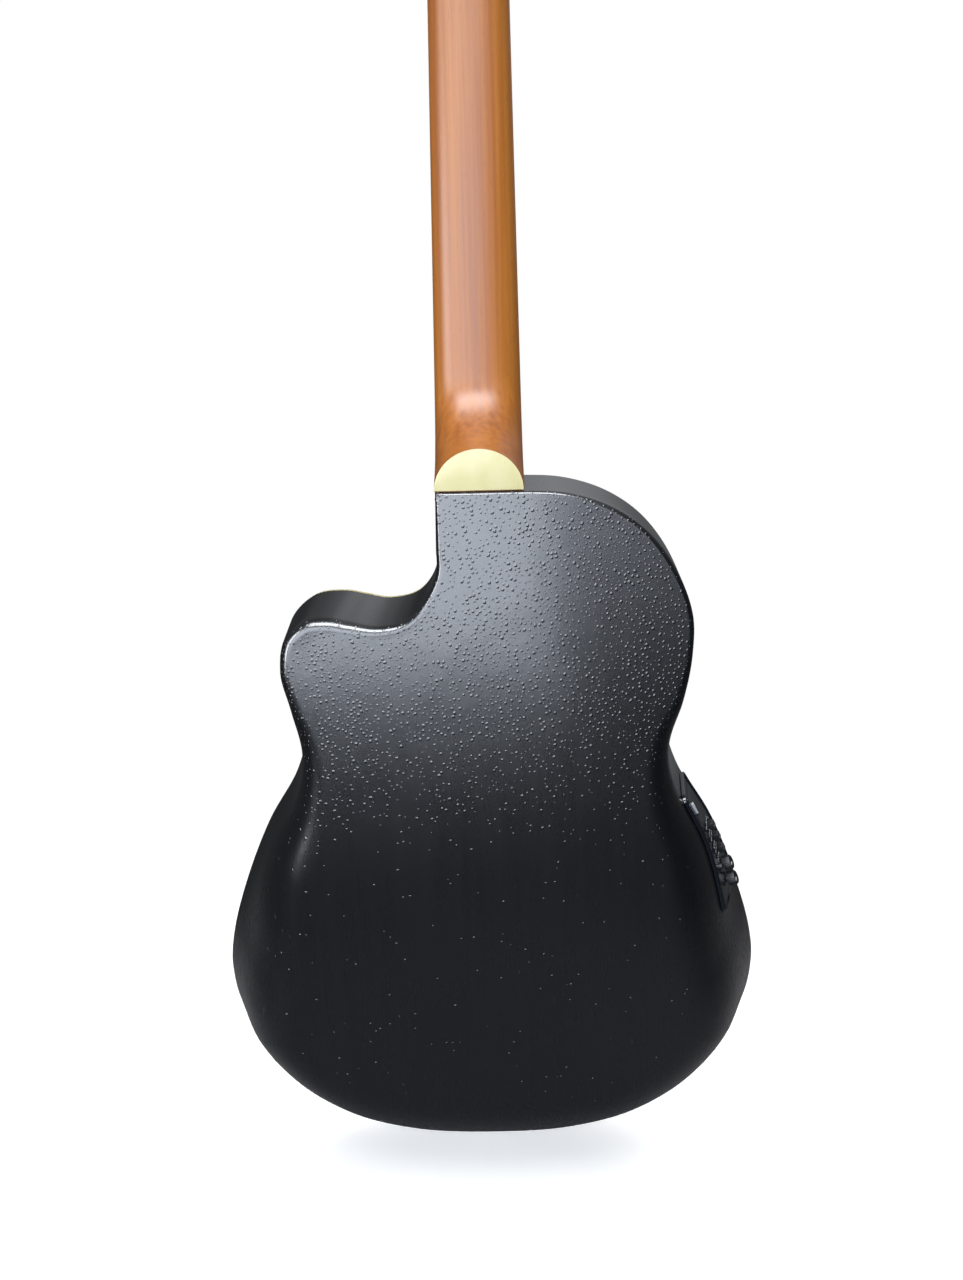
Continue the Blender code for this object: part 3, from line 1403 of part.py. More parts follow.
def slider(name, p):
    frame, over, under = surface_frame(p, CONTROL_Y, SLIDE_TRAVEL + STEM_LONG)
    half = (SLIDE_TRAVEL + STEM_LONG) / 2 * frame.col[1].y + 1.6
    wide, tall = (p - SLOT_HALF_WIDE, p + SLOT_HALF_WIDE), (CONTROL_Y - half, CONTROL_Y + half)
    cutters.append(preamp_box("cut_slot", wide, tall, (-60, 40)))
    top, foot = over + 0.4, under - 0.5
    section = [(-2.5, foot - 1.0), (2.5, foot - 1.0), (2.5, foot), (1.1, foot), (1.1, top), (2.6, top),
               (2.6, top + 3.6), (1.9, top + 4.4), (0.3, top + 4.4), (0.3, top + 3.9), (-0.3, top + 3.9),
               (-0.3, top + 4.4), (-1.9, top + 4.4), (-2.6, top + 3.6), (-2.6, top), (-1.1, top),
               (-1.1, foot), (-2.5, foot)]
    prism(
        name,
        [section],
        -STEM_LONG / 2,
        STEM_LONG / 2,
        KNOB,
        place=lambda a, b, c: (a, c, b),
        frame=frame,
    )
    return frame


def knob(name, p):
    frame, over, under = surface_frame(p, CONTROL_Y, 2 * KNOB_RADIUS)
    base, foot = over + 0.5, under - 0.6
    bore = solid(
        "cut_knob",
        *round_bar(frame.translation, frame.col[2].to_3d(), STEM_RADIUS + GAP, -12.0, 12.0, 12),
        CASE,
    )
    cutters.append(bore)
    made = lathe(
        name,
        [(3.4, foot - 1.2), (3.4, foot), (STEM_RADIUS, foot), (STEM_RADIUS, base), (KNOB_RADIUS, base),
         (KNOB_RADIUS - 0.3, base + 5.4), (KNOB_RADIUS - 1.1, base + 6.2)],
        16,
        KNOB,
        frame=frame,
    )
    mark = box("cut_mark", (-0.5, 0.5, base + 5.6), (0.5, KNOB_RADIUS + 1, base + 8), KNOB, frame=frame)
    apply_boolean(made, mark, smooth=True)
    return frame


control_frames = {}
for word, p in zip(("bass", "middle", "treble"), SLIDER_AT):
    control_frames[f"slider_{word}"] = (slider(f"slider_{word}", p), 1)
for word, p in zip(("blend", "volume"), KNOB_AT):
    control_frames[f"knob_{word}"] = (knob(f"knob_{word}", p), 2)

press_frame, press_over, press_under = surface_frame(BUTTON_P, BUTTON_Y, 5.0)
button_bore = round_bar(press_frame.translation, press_frame.col[2].to_3d(), STEM_RADIUS + GAP, -12, 12, 12)
cutters.append(solid("cut_button", *button_bore, CASE))
lathe(
    "phase_button",
    [(3.0, press_under - 2.4), (3.0, press_under - 0.6), (STEM_RADIUS, press_under - 0.6),
     (STEM_RADIUS, press_over + 1.4), (STEM_RADIUS - 0.4, press_over + 1.8)],
    14,
    KNOB,
    frame=press_frame,
)
for cutter in cutters:
    apply_boolean(faceplate, cutter)

drawer = solid(
    "battery_drawer",
    *draped_mesh([rounded(*door_p, *door_y, 0.8, 2)], PLATE_UNDER, PLATE_OVER),
    CASE,
    frame=PREAMP,
)
door_heights = [skin_height(p, y) for p in door_p for y in (*door_y, BAY_Y)]
tray_top = max(door_heights) + PLATE_UNDER + 0.8
tray_foot = min(door_heights) - DRAWER_DEEP
tray = solid(
    "cut_tray",
    *draped_mesh([rounded(*door_p, *door_y, 0.8, 2)], tray_foot, PLATE_UNDER + 0.4, both=False),
    CASE,
    frame=PREAMP,
)
apply_boolean(drawer, tray, "UNION")
cell_half = CELL_SIZE[0] / 2 + GAP
cell_low = tray_foot + 2.0
pocket_high = cell_low + CELL_SIZE[2] + 2 * GAP
apply_boolean(
    drawer,
    preamp_box(
        "cut_pocket",
        (door_p[0] - 5.0, DRAWER_AT + cell_half),
        (BAY_Y - CELL_SIZE[1] / 2 - GAP, BAY_Y + CELL_SIZE[1] / 2 + GAP),
        (cell_low - GAP, pocket_high),
    ),
)
pull = preamp_box(
    "cut_pull",
    (DRAWER_AT - PULL_LONG / 2, DRAWER_AT + PULL_LONG / 2),
    (door_y[1] - 7.0, door_y[1] - 3.6),
    (skin_height(DRAWER_AT, door_y[1] - 5.3) + 1.4, 40.0),
)
apply_boolean(drawer, pull)
preamp_box(
    "battery",
    (DRAWER_AT - CELL_SIZE[0] / 2, DRAWER_AT + CELL_SIZE[0] / 2),
    (BAY_Y - CELL_SIZE[1] / 2, BAY_Y + CELL_SIZE[1] / 2),
    (cell_low, cell_low + CELL_SIZE[2]),
)
bpy.data.objects["battery"].data.materials[0] = CELL

floor_q = min(skin_height(p, y) for p in housing_p for y in HOUSING_Y) - CONTROL_DEEP
housing_loop = rounded(*housing_p, *HOUSING_Y, 0.8, 2)
housing = solid(
    "preamp_housing",
    *draped_mesh([housing_loop], floor_q - CASE_WALL, PLATE_UNDER - GAP, both=False),
    CASE,
    frame=PREAMP,
)
bay_floor = tray_foot - GAP
apply_boolean(
    housing,
    preamp_box(
        "cut_bay_block",
        (bay_p[0] - CASE_WALL, bay_p[1] + CASE_WALL - GAP),
        (bay_y[0] - CASE_WALL + GAP, bay_y[1] + CASE_WALL - GAP),
        (bay_floor - CASE_WALL, floor_q),
    ),
    "UNION",
)
apply_boolean(housing, preamp_box("cut_bay", bay_p, bay_y, (bay_floor, 40.0)))
apply_boolean(
    housing,
    preamp_box(
        "cut_controls",
        (HOUSING_LOW + CASE_WALL, bay_p[0] - CASE_WALL),
        (HOUSING_Y[0] + CASE_WALL, HOUSING_Y[1] - CASE_WALL),
        (floor_q, 40.0),
    ),
)

# Leads inside


def smooth_line(points, count=4):
    """A lead's route: rounded through its stations."""
    spots = [np.array(p, float) for p in points]
    spots = [2 * spots[0] - spots[1]] + spots + [2 * spots[-1] - spots[-2]]
    line = []
    for a, b, c, d in zip(spots, spots[1:], spots[2:], spots[3:]):
        square, cube = 2 * a - 5 * b + 4 * c - d, 3 * b - a - 3 * c + d
        for t in np.arange(count) / count:
            line.append(b + 0.5 * ((c - a) * t + square * t**2 + cube * t**3))
    return [tuple(p) for p in line] + [tuple(spots[-2])]


entry_y = (HOUSING_Y[0] + HOUSING_Y[1]) / 2
jack_end = jack_frame @ Vector((0, 0, -JACK_INNER - GAP))
jack_run = [jack_end, jack_end - jack_out * 8.0, jack_end - jack_out * 18.0]
jack_run += [(-30.0, 30.0, jack_end.z + 40.0), (-80.0, 40.0, jack_end.z + 80.0)]
for p, away in ((-30.0, 26.0), (-30.0, 12.0), (-30.0, GAP + LEAD_RADIUS * 0.4)):
    jack_run.append(PREAMP @ Vector((p, entry_y, floor_q - CASE_WALL - away)))
tube("jack_lead", smooth_line(jack_run), LEAD_RADIUS, RUBBER)

pickup_y = SLOT_FLOOR_Y
pickup_run = [
    (LEAD_X, pickup_y, SADDLE_Z),
    (LEAD_X, pickup_y / 2, SADDLE_Z),
    (LEAD_X, TOP_THICK / 2, SADDLE_Z),
    (LEAD_X, TOP_THICK + 2.0, SADDLE_Z),
    (LEAD_X, TOP_THICK + 5.0, SADDLE_Z),
    (LEAD_X - 6.0, 14.0, SADDLE_Z + 6.0),
    (-20.0, 16.0, SADDLE_Z + 20.0),
]
for p, away in ((-12.0, 26.0), (-12.0, 12.0), (-12.0, GAP + LEAD_RADIUS * 0.4)):
    pickup_run.append(PREAMP @ Vector((p, entry_y, floor_q - CASE_WALL - away)))
tube("pickup_lead", smooth_line(pickup_run), LEAD_RADIUS, RUBBER)

# Facts for the record


def told(name, frame, column):
    place = ", ".join(f"{c * MM:.6f}" for c in frame.translation)
    axis = ", ".join(f"{c:.6f}" for c in frame.col[column].to_3d())
    print(f"{name}: origin {place}; axis {axis}")


for name, (frame, column) in control_frames.items():
    told(name, frame, column)
told("phase_button", press_frame, 2)
told("battery_drawer", PREAMP, 2)
told("endpin_jack", jack_frame, 2)
for number, (side, row) in enumerate(PLACE, 1):
    told(f"roller_{number}", axis_frame(0.0, ROLLER_AT[row], ROLLER_AXIS, (1, 0, 0)), 2)
    spot = on_head(side * GEAR_MIDDLE, ROLLER_AT[row] - WORM_AWAY, ROLLER_AXIS)
    told(f"worm_{number}", frame_of(spot, (1, 0, 0), BACK), 2)
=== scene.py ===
import json
import math

import bmesh
import bpy
import numpy as np
from mathutils import Matrix, Vector
from mathutils.bvhtree import BVHTree
from mathutils.geometry import delaunay_2d_cdt


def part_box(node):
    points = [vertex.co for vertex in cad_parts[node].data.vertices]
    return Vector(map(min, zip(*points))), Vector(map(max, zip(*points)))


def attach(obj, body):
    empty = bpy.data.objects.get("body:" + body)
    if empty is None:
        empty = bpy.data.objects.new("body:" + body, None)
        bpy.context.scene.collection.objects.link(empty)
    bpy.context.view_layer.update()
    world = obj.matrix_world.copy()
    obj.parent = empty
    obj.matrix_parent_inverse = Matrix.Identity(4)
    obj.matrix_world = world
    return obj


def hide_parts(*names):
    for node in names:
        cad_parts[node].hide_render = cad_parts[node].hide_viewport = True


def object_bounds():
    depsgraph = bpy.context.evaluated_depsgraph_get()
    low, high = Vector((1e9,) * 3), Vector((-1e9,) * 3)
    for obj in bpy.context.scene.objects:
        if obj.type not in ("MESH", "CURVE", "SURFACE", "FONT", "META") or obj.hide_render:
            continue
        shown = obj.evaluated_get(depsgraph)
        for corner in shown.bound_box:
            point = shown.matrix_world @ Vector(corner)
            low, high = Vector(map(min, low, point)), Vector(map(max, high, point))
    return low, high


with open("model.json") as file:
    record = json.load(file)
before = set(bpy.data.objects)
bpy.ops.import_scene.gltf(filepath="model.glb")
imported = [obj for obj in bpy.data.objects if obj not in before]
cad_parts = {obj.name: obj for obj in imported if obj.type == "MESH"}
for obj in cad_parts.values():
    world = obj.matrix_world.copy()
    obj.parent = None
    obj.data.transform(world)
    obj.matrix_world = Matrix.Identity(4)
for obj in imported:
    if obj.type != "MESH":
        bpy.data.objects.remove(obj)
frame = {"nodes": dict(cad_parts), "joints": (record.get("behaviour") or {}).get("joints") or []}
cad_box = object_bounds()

# The frame runs Z up along the neck, Y to the back of the guitar and X to its treble side, in metres.
# Sizes below are in millimetres, and each mesh is scaled as it is made.
MM = 0.001

# Camera and studio
#
# The guitar is seen from behind and a little above, from an arm's length, with its head out of the picture.
# A large window lamp stands behind the camera, and smaller ones draw the highlights on ridges and neck.
# The floor is a pale disc that fades out into a white room.


def linear(code):
    """Linear colour of an sRGB hex code."""
    parts = [int(code[i : i + 2], 16) / 255 for i in (0, 2, 4)]
    return [c / 12.92 if c <= 0.04045 else ((c + 0.055) / 1.055) ** 2.4 for c in parts] + [1.0]


def connect(tree, made, inputs):
    """Sets or links a node's inputs. A node given as an input stands for its first output."""
    for key, value in inputs.items() if isinstance(inputs, dict) else enumerate(inputs):
        value = value.outputs[0] if isinstance(value, bpy.types.Node) else value
        if isinstance(value, bpy.types.NodeSocket):
            tree.links.new(value, made.inputs[key])
        else:
            made.inputs[key].default_value = value
    return made


def add(tree, kind, inputs=(), **settings):
    """Adds a node with its settings, and its inputs by name or in their order."""
    made = tree.nodes.new(kind)
    for key, value in settings.items():
        setattr(made, key, value)
    return connect(tree, made, inputs)


def circle(radius, count, centre=(0.0, 0.0)):
    """Points round a circle."""
    turns = [2 * math.pi * i / count for i in range(count)]
    return [(centre[0] + radius * math.cos(t), centre[1] + radius * math.sin(t)) for t in turns]


CAMERA_PLACE = (-6.6, 611.7, -329.6)
CAMERA_TURN = (78.361, 1.354, -179.521)  # degrees, about X, Y and Z
CAMERA_LENS = 24.1
view_data = bpy.data.cameras.new("view")
view_data.lens = CAMERA_LENS
view_data.sensor_width = 36.0
view_data.clip_start = 0.01
view_data.clip_end = 50.0
camera = bpy.data.objects.new("view", view_data)
camera.location = [c * MM for c in CAMERA_PLACE]
camera.rotation_euler = [math.radians(a) for a in CAMERA_TURN]
scene_links = bpy.context.scene.collection.objects.link
scene_links(camera)
bpy.context.scene.camera = camera
bpy.context.scene.view_settings.view_transform = "Standard"


def soft_light(name, place, aim, size, power, colour, mirrored=True, lights=True):
    """A rectangular lamp, facing a point. It can be left out of mirror images, or kept to them."""
    lamp = bpy.data.lights.new(name, "AREA")
    lamp.shape = "RECTANGLE"
    lamp.size, lamp.size_y = size
    lamp.energy = power
    lamp.color = linear(colour)[:3]
    made = bpy.data.objects.new(name, lamp)
    made.location = place
    made.rotation_euler = (Vector(aim) - Vector(place)).to_track_quat("-Z", "Y").to_euler()
    made.visible_glossy = mirrored
    made.visible_diffuse = lights
    scene_links(made)


LAMP_AIM = (0.0, 0.05, -0.45)  # on the upper body
soft_light("window_light", (0.78, 2.40, 0.20), LAMP_AIM, (2.5, 1.5), 76.0, "E9F1FF")
soft_light("window_spill", (-0.80, 2.45, 0.35), LAMP_AIM, (0.9, 1.3), 6.5, "E9F0FF", lights=False)
soft_light("sky_light", (0.25, 1.25, 1.75), LAMP_AIM, (2.2, 1.3), 130.0, "F4F8FF", lights=False)
soft_light("side_light", (1.85, 1.15, 0.05), LAMP_AIM, (0.6, 1.3), 34.0, "F4F8FF", lights=False)
soft_light("room_light", (0.2, 1.1, 2.5), LAMP_AIM, (1.8, 1.8), 44.0, "FFFBF4", mirrored=False)
soft_light("front_light", (-0.9, -2.4, 0.6), (0.0, 0.0, -0.4), (1.6, 1.6), 62.0, "FFFAF2", mirrored=False)

room = bpy.data.worlds.new("room")
room.use_nodes = True
bpy.context.scene.world = room
tree = room.node_tree
tree.nodes.clear()
ray = add(tree, "ShaderNodeLightPath").outputs
way = add(tree, "ShaderNodeSeparateXYZ", [add(tree, "ShaderNodeTexCoord").outputs["Generated"]]).outputs
# The room as mirror images show it: brightest overhead, beyond the guitar and a little to its bass side.
behind = add(tree, "ShaderNodeMapRange", [way["Y"], 0.35, -0.25, 0.04, 0.10], interpolation_type="SMOOTHSTEP")
upwards = add(tree, "ShaderNodeMapRange", [way["Z"], 0.12, 0.5, 1.0, 5.0])
sideways = add(tree, "ShaderNodeMapRange", [way["X"], -0.1, 0.22, 1.2, 0.3])
far_side = add(tree, "ShaderNodeMapRange", [way["X"], -0.4, -0.75, 1.0, 0.3])
glow = behind
for more in (upwards, sideways, far_side):
    glow = add(tree, "ShaderNodeMath", [glow, more], operation="MULTIPLY")
either = [ray["Is Glossy Ray"], ray["Is Transmission Ray"]]
mirrored = add(tree, "ShaderNodeMath", either, operation="MAXIMUM")
fill_light = add(tree, "ShaderNodeBackground", [linear("E9EEF6"), 0.34])
backdrop = add(tree, "ShaderNodeBackground", [linear("F2F5FA"), glow])
seen = add(tree, "ShaderNodeBackground", [linear("FFFFFF"), 1.0])
unseen = add(tree, "ShaderNodeMixShader", [mirrored, fill_light, backdrop])
add(tree, "ShaderNodeOutputWorld", [add(tree, "ShaderNodeMixShader", [ray["Is Camera Ray"], unseen, seen])])

FLOOR_RADIUS = 900.0
FLOOR_SOLID = 150.0  # the floor is opaque this far out, and gone at its edge


def new_finish(name, colour, roughness, **sockets):
    """A material with its tree and its Principled shader."""
    look = bpy.data.materials.new(name)
    look.use_nodes = True
    shader = look.node_tree.nodes["Principled BSDF"]
    more = {key.replace("_", " "): value for key, value in sockets.items()}
    connect(look.node_tree, shader, {"Base Color": linear(colour), "Roughness": roughness, **more})
    return look, look.node_tree, shader


floor_look, tree, shader = new_finish("pale_floor", "F4F4F2", 0.9)
where = add(tree, "ShaderNodeTexCoord").outputs["Object"]
away = add(tree, "ShaderNodeVectorMath", [where], operation="LENGTH").outputs["Value"]
reach = [away, FLOOR_SOLID * MM, FLOOR_RADIUS * MM]
fade = add(tree, "ShaderNodeMapRange", reach, interpolation_type="SMOOTHERSTEP")
lifted = add(tree, "ShaderNodeAddShader", [shader, add(tree, "ShaderNodeEmission", {"Strength": 0.42})])
# In mirror images and bounced light it is a darker floor, as in the photographed room.
dull = add(tree, "ShaderNodeBsdfDiffuse", [linear("5E5E60")])
ray = add(tree, "ShaderNodeLightPath").outputs
seen = add(tree, "ShaderNodeMixShader", [ray["Is Camera Ray"], dull, lifted])
faded = add(tree, "ShaderNodeMixShader", [fade, seen, add(tree, "ShaderNodeBsdfTransparent")])
connect(tree, tree.nodes["Material Output"], [faded])
disc = bpy.data.meshes.new("floor")
rim = [(x, y, 0.0) for x, y in circle(FLOOR_RADIUS * MM, 64)]
disc.from_pydata(rim, [], [tuple(range(len(rim)))])
disc.materials.append(floor_look)
floor = bpy.data.objects.new("floor", disc)
floor.location = (0.0, 0.03, cad_box[0][2] - 0.0005)
scene_links(floor)

# Moulded back
#
# One shell of black glass-filled ABS, pressed in a mould. Its back is nearly flat, its wall leans in, and the
# rounded edge between them is tight at the heel and wide at the tail. Its skin is satin, with a fine grain.

SCALE_LENGTH = 650.0
NUT_Z = -13.0
JOINT_Z = NUT_Z - SCALE_LENGTH / 2
NUT_WIDTH = 51.0
JOINT_WIDTH = 61.0
BODY_LENGTH = 500.0
BODY_WIDTH = 405.0
HEEL_DEPTH = 68.0
DEEPEST = 94.0
CROWN = 6.0
CROWN_HALF = 150.0
BOWL_WALL = 3.0
RIM_Y = 5.8
LOWER_SIDE = (
    (0.0, 1.0), (0.296, 0.994), (0.558, 0.967), (0.795, 0.908), (0.963, 0.822), (1.0, 0.75),
    (0.985, 0.69), (0.919, 0.602), (0.812, 0.502), (0.694, 0.422), (0.654, 0.362),
)
HORN = (
    (0.674, 0.302), (0.701, 0.247), (0.677, 0.194), (0.588, 0.161), (0.484, 0.156), (0.41, 0.1614),
    (0.324, 0.1674), (0.221, 0.1576), (0.161, 0.126),
)
SHOULDER = (
    (-0.291, 0.0044), (-0.431, 0.023), (-0.553, 0.057), (-0.652, 0.11), (-0.714, 0.176), (-0.715, 0.234),
    (-0.689, 0.299),
)
WALL_STRAIGHT = 0.092
WALL_LEAN = 8.7  # how far the wall comes in over its height, at the heel
LEAN_MORE = 1.7  # and this much more at the tail
LEAN_CUTAWAY = 3.0
RIDGE_ROUND, WAIST_ROUND, TAIL_ROUND = 3.0, 10.0, 63.0  # the rounded edge's radius
OUTLINE_STEPS = 8


def neck_half(above):
    """Half the width of the neck, at a height above the joint with the body."""
    return (JOINT_WIDTH - (JOINT_WIDTH - NUT_WIDTH) * above / (SCALE_LENGTH / 2)) / 2


def smoothstep(low, high, value):
    """A soft step from 0 to 1."""
    t = np.clip((value - low) / (high - low), 0.0, 1.0)
    return t * t * (3 - 2 * t)


def body_outline(steps):
    """Points (x, d) round the soundboard, d below the joint, and the places of the heel's corners."""
    low, horn, shoulder = (
        [(x * BODY_WIDTH / 2, d * BODY_LENGTH) for x, d in side] for side in (LOWER_SIDE, HORN, SHOULDER)
    )
    heel, straight = neck_half(0), WALL_STRAIGHT * BODY_LENGTH
    stations = low + horn + [(neck_half(-straight), straight), (heel, 0), (-heel, 0)]
    stations += shoulder + [(-x, d) for x, d in reversed(low[1:])]
    first = len(low) + len(horn)
    sharp = {first, first + 1, first + 2}
    spots = np.array(stations, float)
    n = len(spots)
    out = []
    for i in range(n):
        p0, p1, p2, p3 = spots[i - 1], spots[i], spots[(i + 1) % n], spots[(i + 2) % n]
        a, b, c = (math.sqrt(math.dist(p, q)) for p, q in ((p0, p1), (p1, p2), (p2, p3)))
        t1 = ((p1 - p0) / a - (p2 - p0) / (a + b) + (p2 - p1) / b) * b
        t2 = ((p2 - p1) / b - (p3 - p1) / (b + c) + (p3 - p2) / c) * b
        before, after = i in sharp, (i + 1) % n in sharp
        if before:
            t1 = p2 - p1 if after else 1.5 * (p2 - p1) - 0.5 * t2
        if after:
            t2 = p2 - p1 if before else 1.5 * (p2 - p1) - 0.5 * t1
        for t in np.arange(steps) / steps * (0.7 if before and after else 1.0):
            h1, h2 = 2 * t**3 - 3 * t**2 + 1, t**3 - 2 * t**2 + t
            h3, h4 = 3 * t**2 - 2 * t**3, t**3 - t**2
            out.append(h1 * p1 + h2 * t1 + h3 * p2 + h4 * t2)
    return np.array(out), [(first + k) * steps for k in range(3)]


OUTLINE, HEEL_CORNERS = body_outline(OUTLINE_STEPS)
ONES = np.ones(len(OUTLINE))


def inset(before, after=None):
    """The outline moved inwards, by the distances for the edge before and after each point."""
    after = before if after is None else after
    edge = np.roll(OUTLINE, -1, 0) - OUTLINE
    normal = np.stack([edge[:, 1], -edge[:, 0]], 1) / np.linalg.norm(edge, axis=1)[:, None]
    if ((OUTLINE.mean(0) - OUTLINE) * normal).sum() < 0:
        normal = -normal
    moved = OUTLINE.copy()
    for i, (n1, n2) in enumerate(zip(np.roll(normal, 1, 0), normal)):
        if abs(n1[0] * n2[1] - n1[1] * n2[0]) > 0.35:
            moved[i] += np.linalg.solve(np.array([n1, n2]), [before[i], after[i]])
        else:
            both = n1 + n2
            moved[i] += both / np.linalg.norm(both) * (before[i] + after[i]) / 2
    return moved


def base_depth(points):
    """Depth of the back over points (x, d)."""
    rise = smoothstep(-0.08 * BODY_LENGTH, 0.66 * BODY_LENGTH, points[:, 1])
    return HEEL_DEPTH + (DEEPEST - HEEL_DEPTH) * rise - CROWN * (points[:, 0] / CROWN_HALF) ** 2


def wall_shape():
    """Each outline point's draft before and after, edge radius, depth of the back and slope of the wall."""
    x, d = OUTLINE[:, 0], OUTLINE[:, 1]
    lean = WALL_LEAN + LEAN_MORE * smoothstep(0.24 * BODY_LENGTH, 0.52 * BODY_LENGTH, d)
    from_neck = (x - neck_half(0)) / BODY_WIDTH
    beside = (1 - smoothstep(0.006, 0.068, from_neck)) * (x > neck_half(0) - 0.01) * (d < 0.18 * BODY_LENGTH)
    before = lean * (1 - beside) + LEAN_CUTAWAY * beside
    after = before.copy()
    after[HEEL_CORNERS[1]] = WALL_LEAN
    away = np.hypot(np.maximum(np.abs(x) - neck_half(0), 0), d)
    tight = RIDGE_ROUND + 1.5 * smoothstep(0, 0.12 * BODY_LENGTH, away)
    tight = tight + 3.5 * smoothstep(0.03, 0.16, from_neck)
    tight = tight + (WAIST_ROUND - tight) * smoothstep(0.2 * BODY_LENGTH, 0.36 * BODY_LENGTH, d)
    turn = tight + (TAIL_ROUND - tight) * smoothstep(0.26 * BODY_LENGTH, 0.66 * BODY_LENGTH, d)
    deep = base_depth(inset(before + turn, after + turn))
    return before, after, turn, deep, (before + after) / 2 / (deep - turn - RIM_Y)


def unfold(flat):
    """The points with any that crowd or turn back on themselves spread out again."""
    edge = np.roll(OUTLINE, -1, 0) - OUTLINE
    for _ in range(60):
        step = np.roll(flat, -1, 0) - flat
        back = (edge * step).sum(1) < 0.2 * (edge * edge).sum(1)
        if not back.any():
            break
        near = back | np.roll(back, 1)
        flat = np.where(near[:, None], (np.roll(flat, 1, 0) + flat + np.roll(flat, -1, 0)) / 3, flat)
    return flat


def to_world(flat, depth):
    """(x, d) points at a depth, as (x, y, z)."""
    return np.stack([flat[:, 0], depth, JOINT_Z - flat[:, 1]], 1)


def bowl_rings(wall_steps, corner_steps, floor_shares, skin=0.0):
    """Rings down the bowl, this far under its outer skin, from its rim to the middle of the back."""
    before, after, turn, deep, slope = wall_shape()
    turn_y = deep - turn
    rings = []

    def ring(share, extra, y, lean):
        """One ring, this far down its draft and this far round its corner."""
        flat = inset(before * share + extra + skin * (1 - lean), after * share + extra + skin * (1 - lean))
        rings.append(to_world(unfold(flat), y - skin * lean))

    for t in np.linspace(0, 1, wall_steps + 1):
        ring(t, 0.0 * turn, RIM_Y + (turn_y - RIM_Y) * t, 0.0)
    for t in np.linspace(0, 1, corner_steps + 1)[1:]:
        b1, b2, b3 = 3 * t * (1 - t) ** 2, 3 * t * t * (1 - t), t**3
        extra = b1 * 0.55 * turn * slope + b2 * 0.45 * turn + b3 * turn
        ring(1.0, extra, (1 - t) ** 3 * turn_y + b1 * (turn_y + 0.55 * turn) + (b2 + b3) * deep, t)
    foot = unfold(inset(before + turn, after + turn))
    spine = np.stack([0 * ONES, np.clip(foot[:, 1], 0.24 * BODY_LENGTH, 0.66 * BODY_LENGTH)], 1)
    for t in floor_shares:
        flat = foot + (spine - foot) * t
        rings.append(to_world(flat, base_depth(flat) - skin))
    return rings


def fill(loops):
    """Triangles inside the first loop and outside the others, as indices into their points."""
    flat = [Vector(p) for loop in loops for p in loop]
    edges, start = [], 0
    for loop in loops:
        edges += [(start + i, start + (i + 1) % len(loop)) for i in range(len(loop))]
        start += len(loop)
    made = delaunay_2d_cdt(flat, edges, [], 0, 1e-6)
    where = [sources[0] for sources in made[3]]
    x0, y0 = np.array([flat[i] for i, _ in edges]).T
    x1, y1 = np.array([flat[j] for _, j in edges]).T
    kept = []
    for face in made[2]:
        x, y = sum((made[0][i] for i in face), Vector((0, 0))) / 3
        cross = (y0 > y) != (y1 > y)
        with np.errstate(divide="ignore", invalid="ignore"):
            cross &= x < x0 + (x1 - x0) * (y - y0) / (y1 - y0)
        if cross.sum() % 2:
            kept.append(tuple(where[i] for i in face))
    return kept


def piece(name, points, faces, look, angle=40.0):
    """A closed mesh from millimetre points, shaded smooth but for edges sharper than the angle."""
    mesh = bpy.data.meshes.new(name)
    mesh.from_pydata([[float(c) * MM for c in p] for p in points], [], [list(map(int, f)) for f in faces])
    mesh.materials.append(look)
    made = bpy.data.objects.new(name, mesh)
    scene_links(made)
    tidy_mesh(made, angle)
    return made


def tidy_mesh(made, angle=40.0):
    """Welds a mesh, turns its faces outwards and shades it smooth."""
    build = bmesh.new()
    build.from_mesh(made.data)
    bmesh.ops.remove_doubles(build, verts=build.verts[:], dist=1e-6)
    bmesh.ops.recalc_face_normals(build, faces=build.faces[:])
    for face in build.faces:
        face.smooth = True
    for edge in build.edges:
        edge.smooth = len(edge.link_faces) == 2 and edge.calc_face_angle(0) < math.radians(angle)
    build.to_mesh(made.data)
    build.free()


def loft(rings):
    """Points and faces of closed rings joined in a row, with both ends filled."""
    n = len(rings[0])
    points = [p for ring in rings for p in ring]
    faces = [tuple(range(n)), tuple(reversed(range(len(points) - n, len(points))))]
    for k in range(len(rings) - 1):
        for i in range(n):
            j = (i + 1) % n
            faces.append((k * n + i, k * n + j, k * n + n + j, k * n + n + i))
    return points, faces


def cut(made, cutter, operation="DIFFERENCE", angle=40.0):
    """Cuts or joins for good, then removes the second object."""
    step = made.modifiers.new(operation.lower(), "BOOLEAN")
    step.operation = operation
    step.solver = "EXACT"
    step.object = cutter
    look = made.data.materials[0]
    bake(made)
    made.data.materials.clear()
    made.data.materials.append(look)
    bpy.data.objects.remove(cutter)
    tidy_mesh(made, angle)


def bake(made):
    """Turns an object with its modifiers into a plain mesh."""
    bpy.context.view_layer.update()
    graph = bpy.context.evaluated_depsgraph_get()
    done = bpy.data.meshes.new_from_object(made.evaluated_get(graph), depsgraph=graph)
    made.modifiers.clear()
    made.data = done


def dress(made, slot, *nodes, body="guitar"):
    """Rides on a body and stands for the CAD nodes named. The slot is not used."""
    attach(made, body)
    if nodes:
        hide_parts(*nodes)


def mottle(tree, counts, detail=2.0, **more):
    """A noise pattern with these counts per metre along the object's X, Y and Z."""
    where = add(tree, "ShaderNodeTexCoord").outputs["Object"]
    spots = add(tree, "ShaderNodeMapping", {0: where, "Scale": counts})
    return add(tree, "ShaderNodeTexNoise", {"Vector": spots, "Scale": 1.0, "Detail": detail, **more})


moulded_abs, tree, shader = new_finish(
    "moulded_black_abs", "0B0D10", 0.27, Specular_IOR_Level=0.62, Coat_Weight=1.0, Coat_Roughness=0.16
)
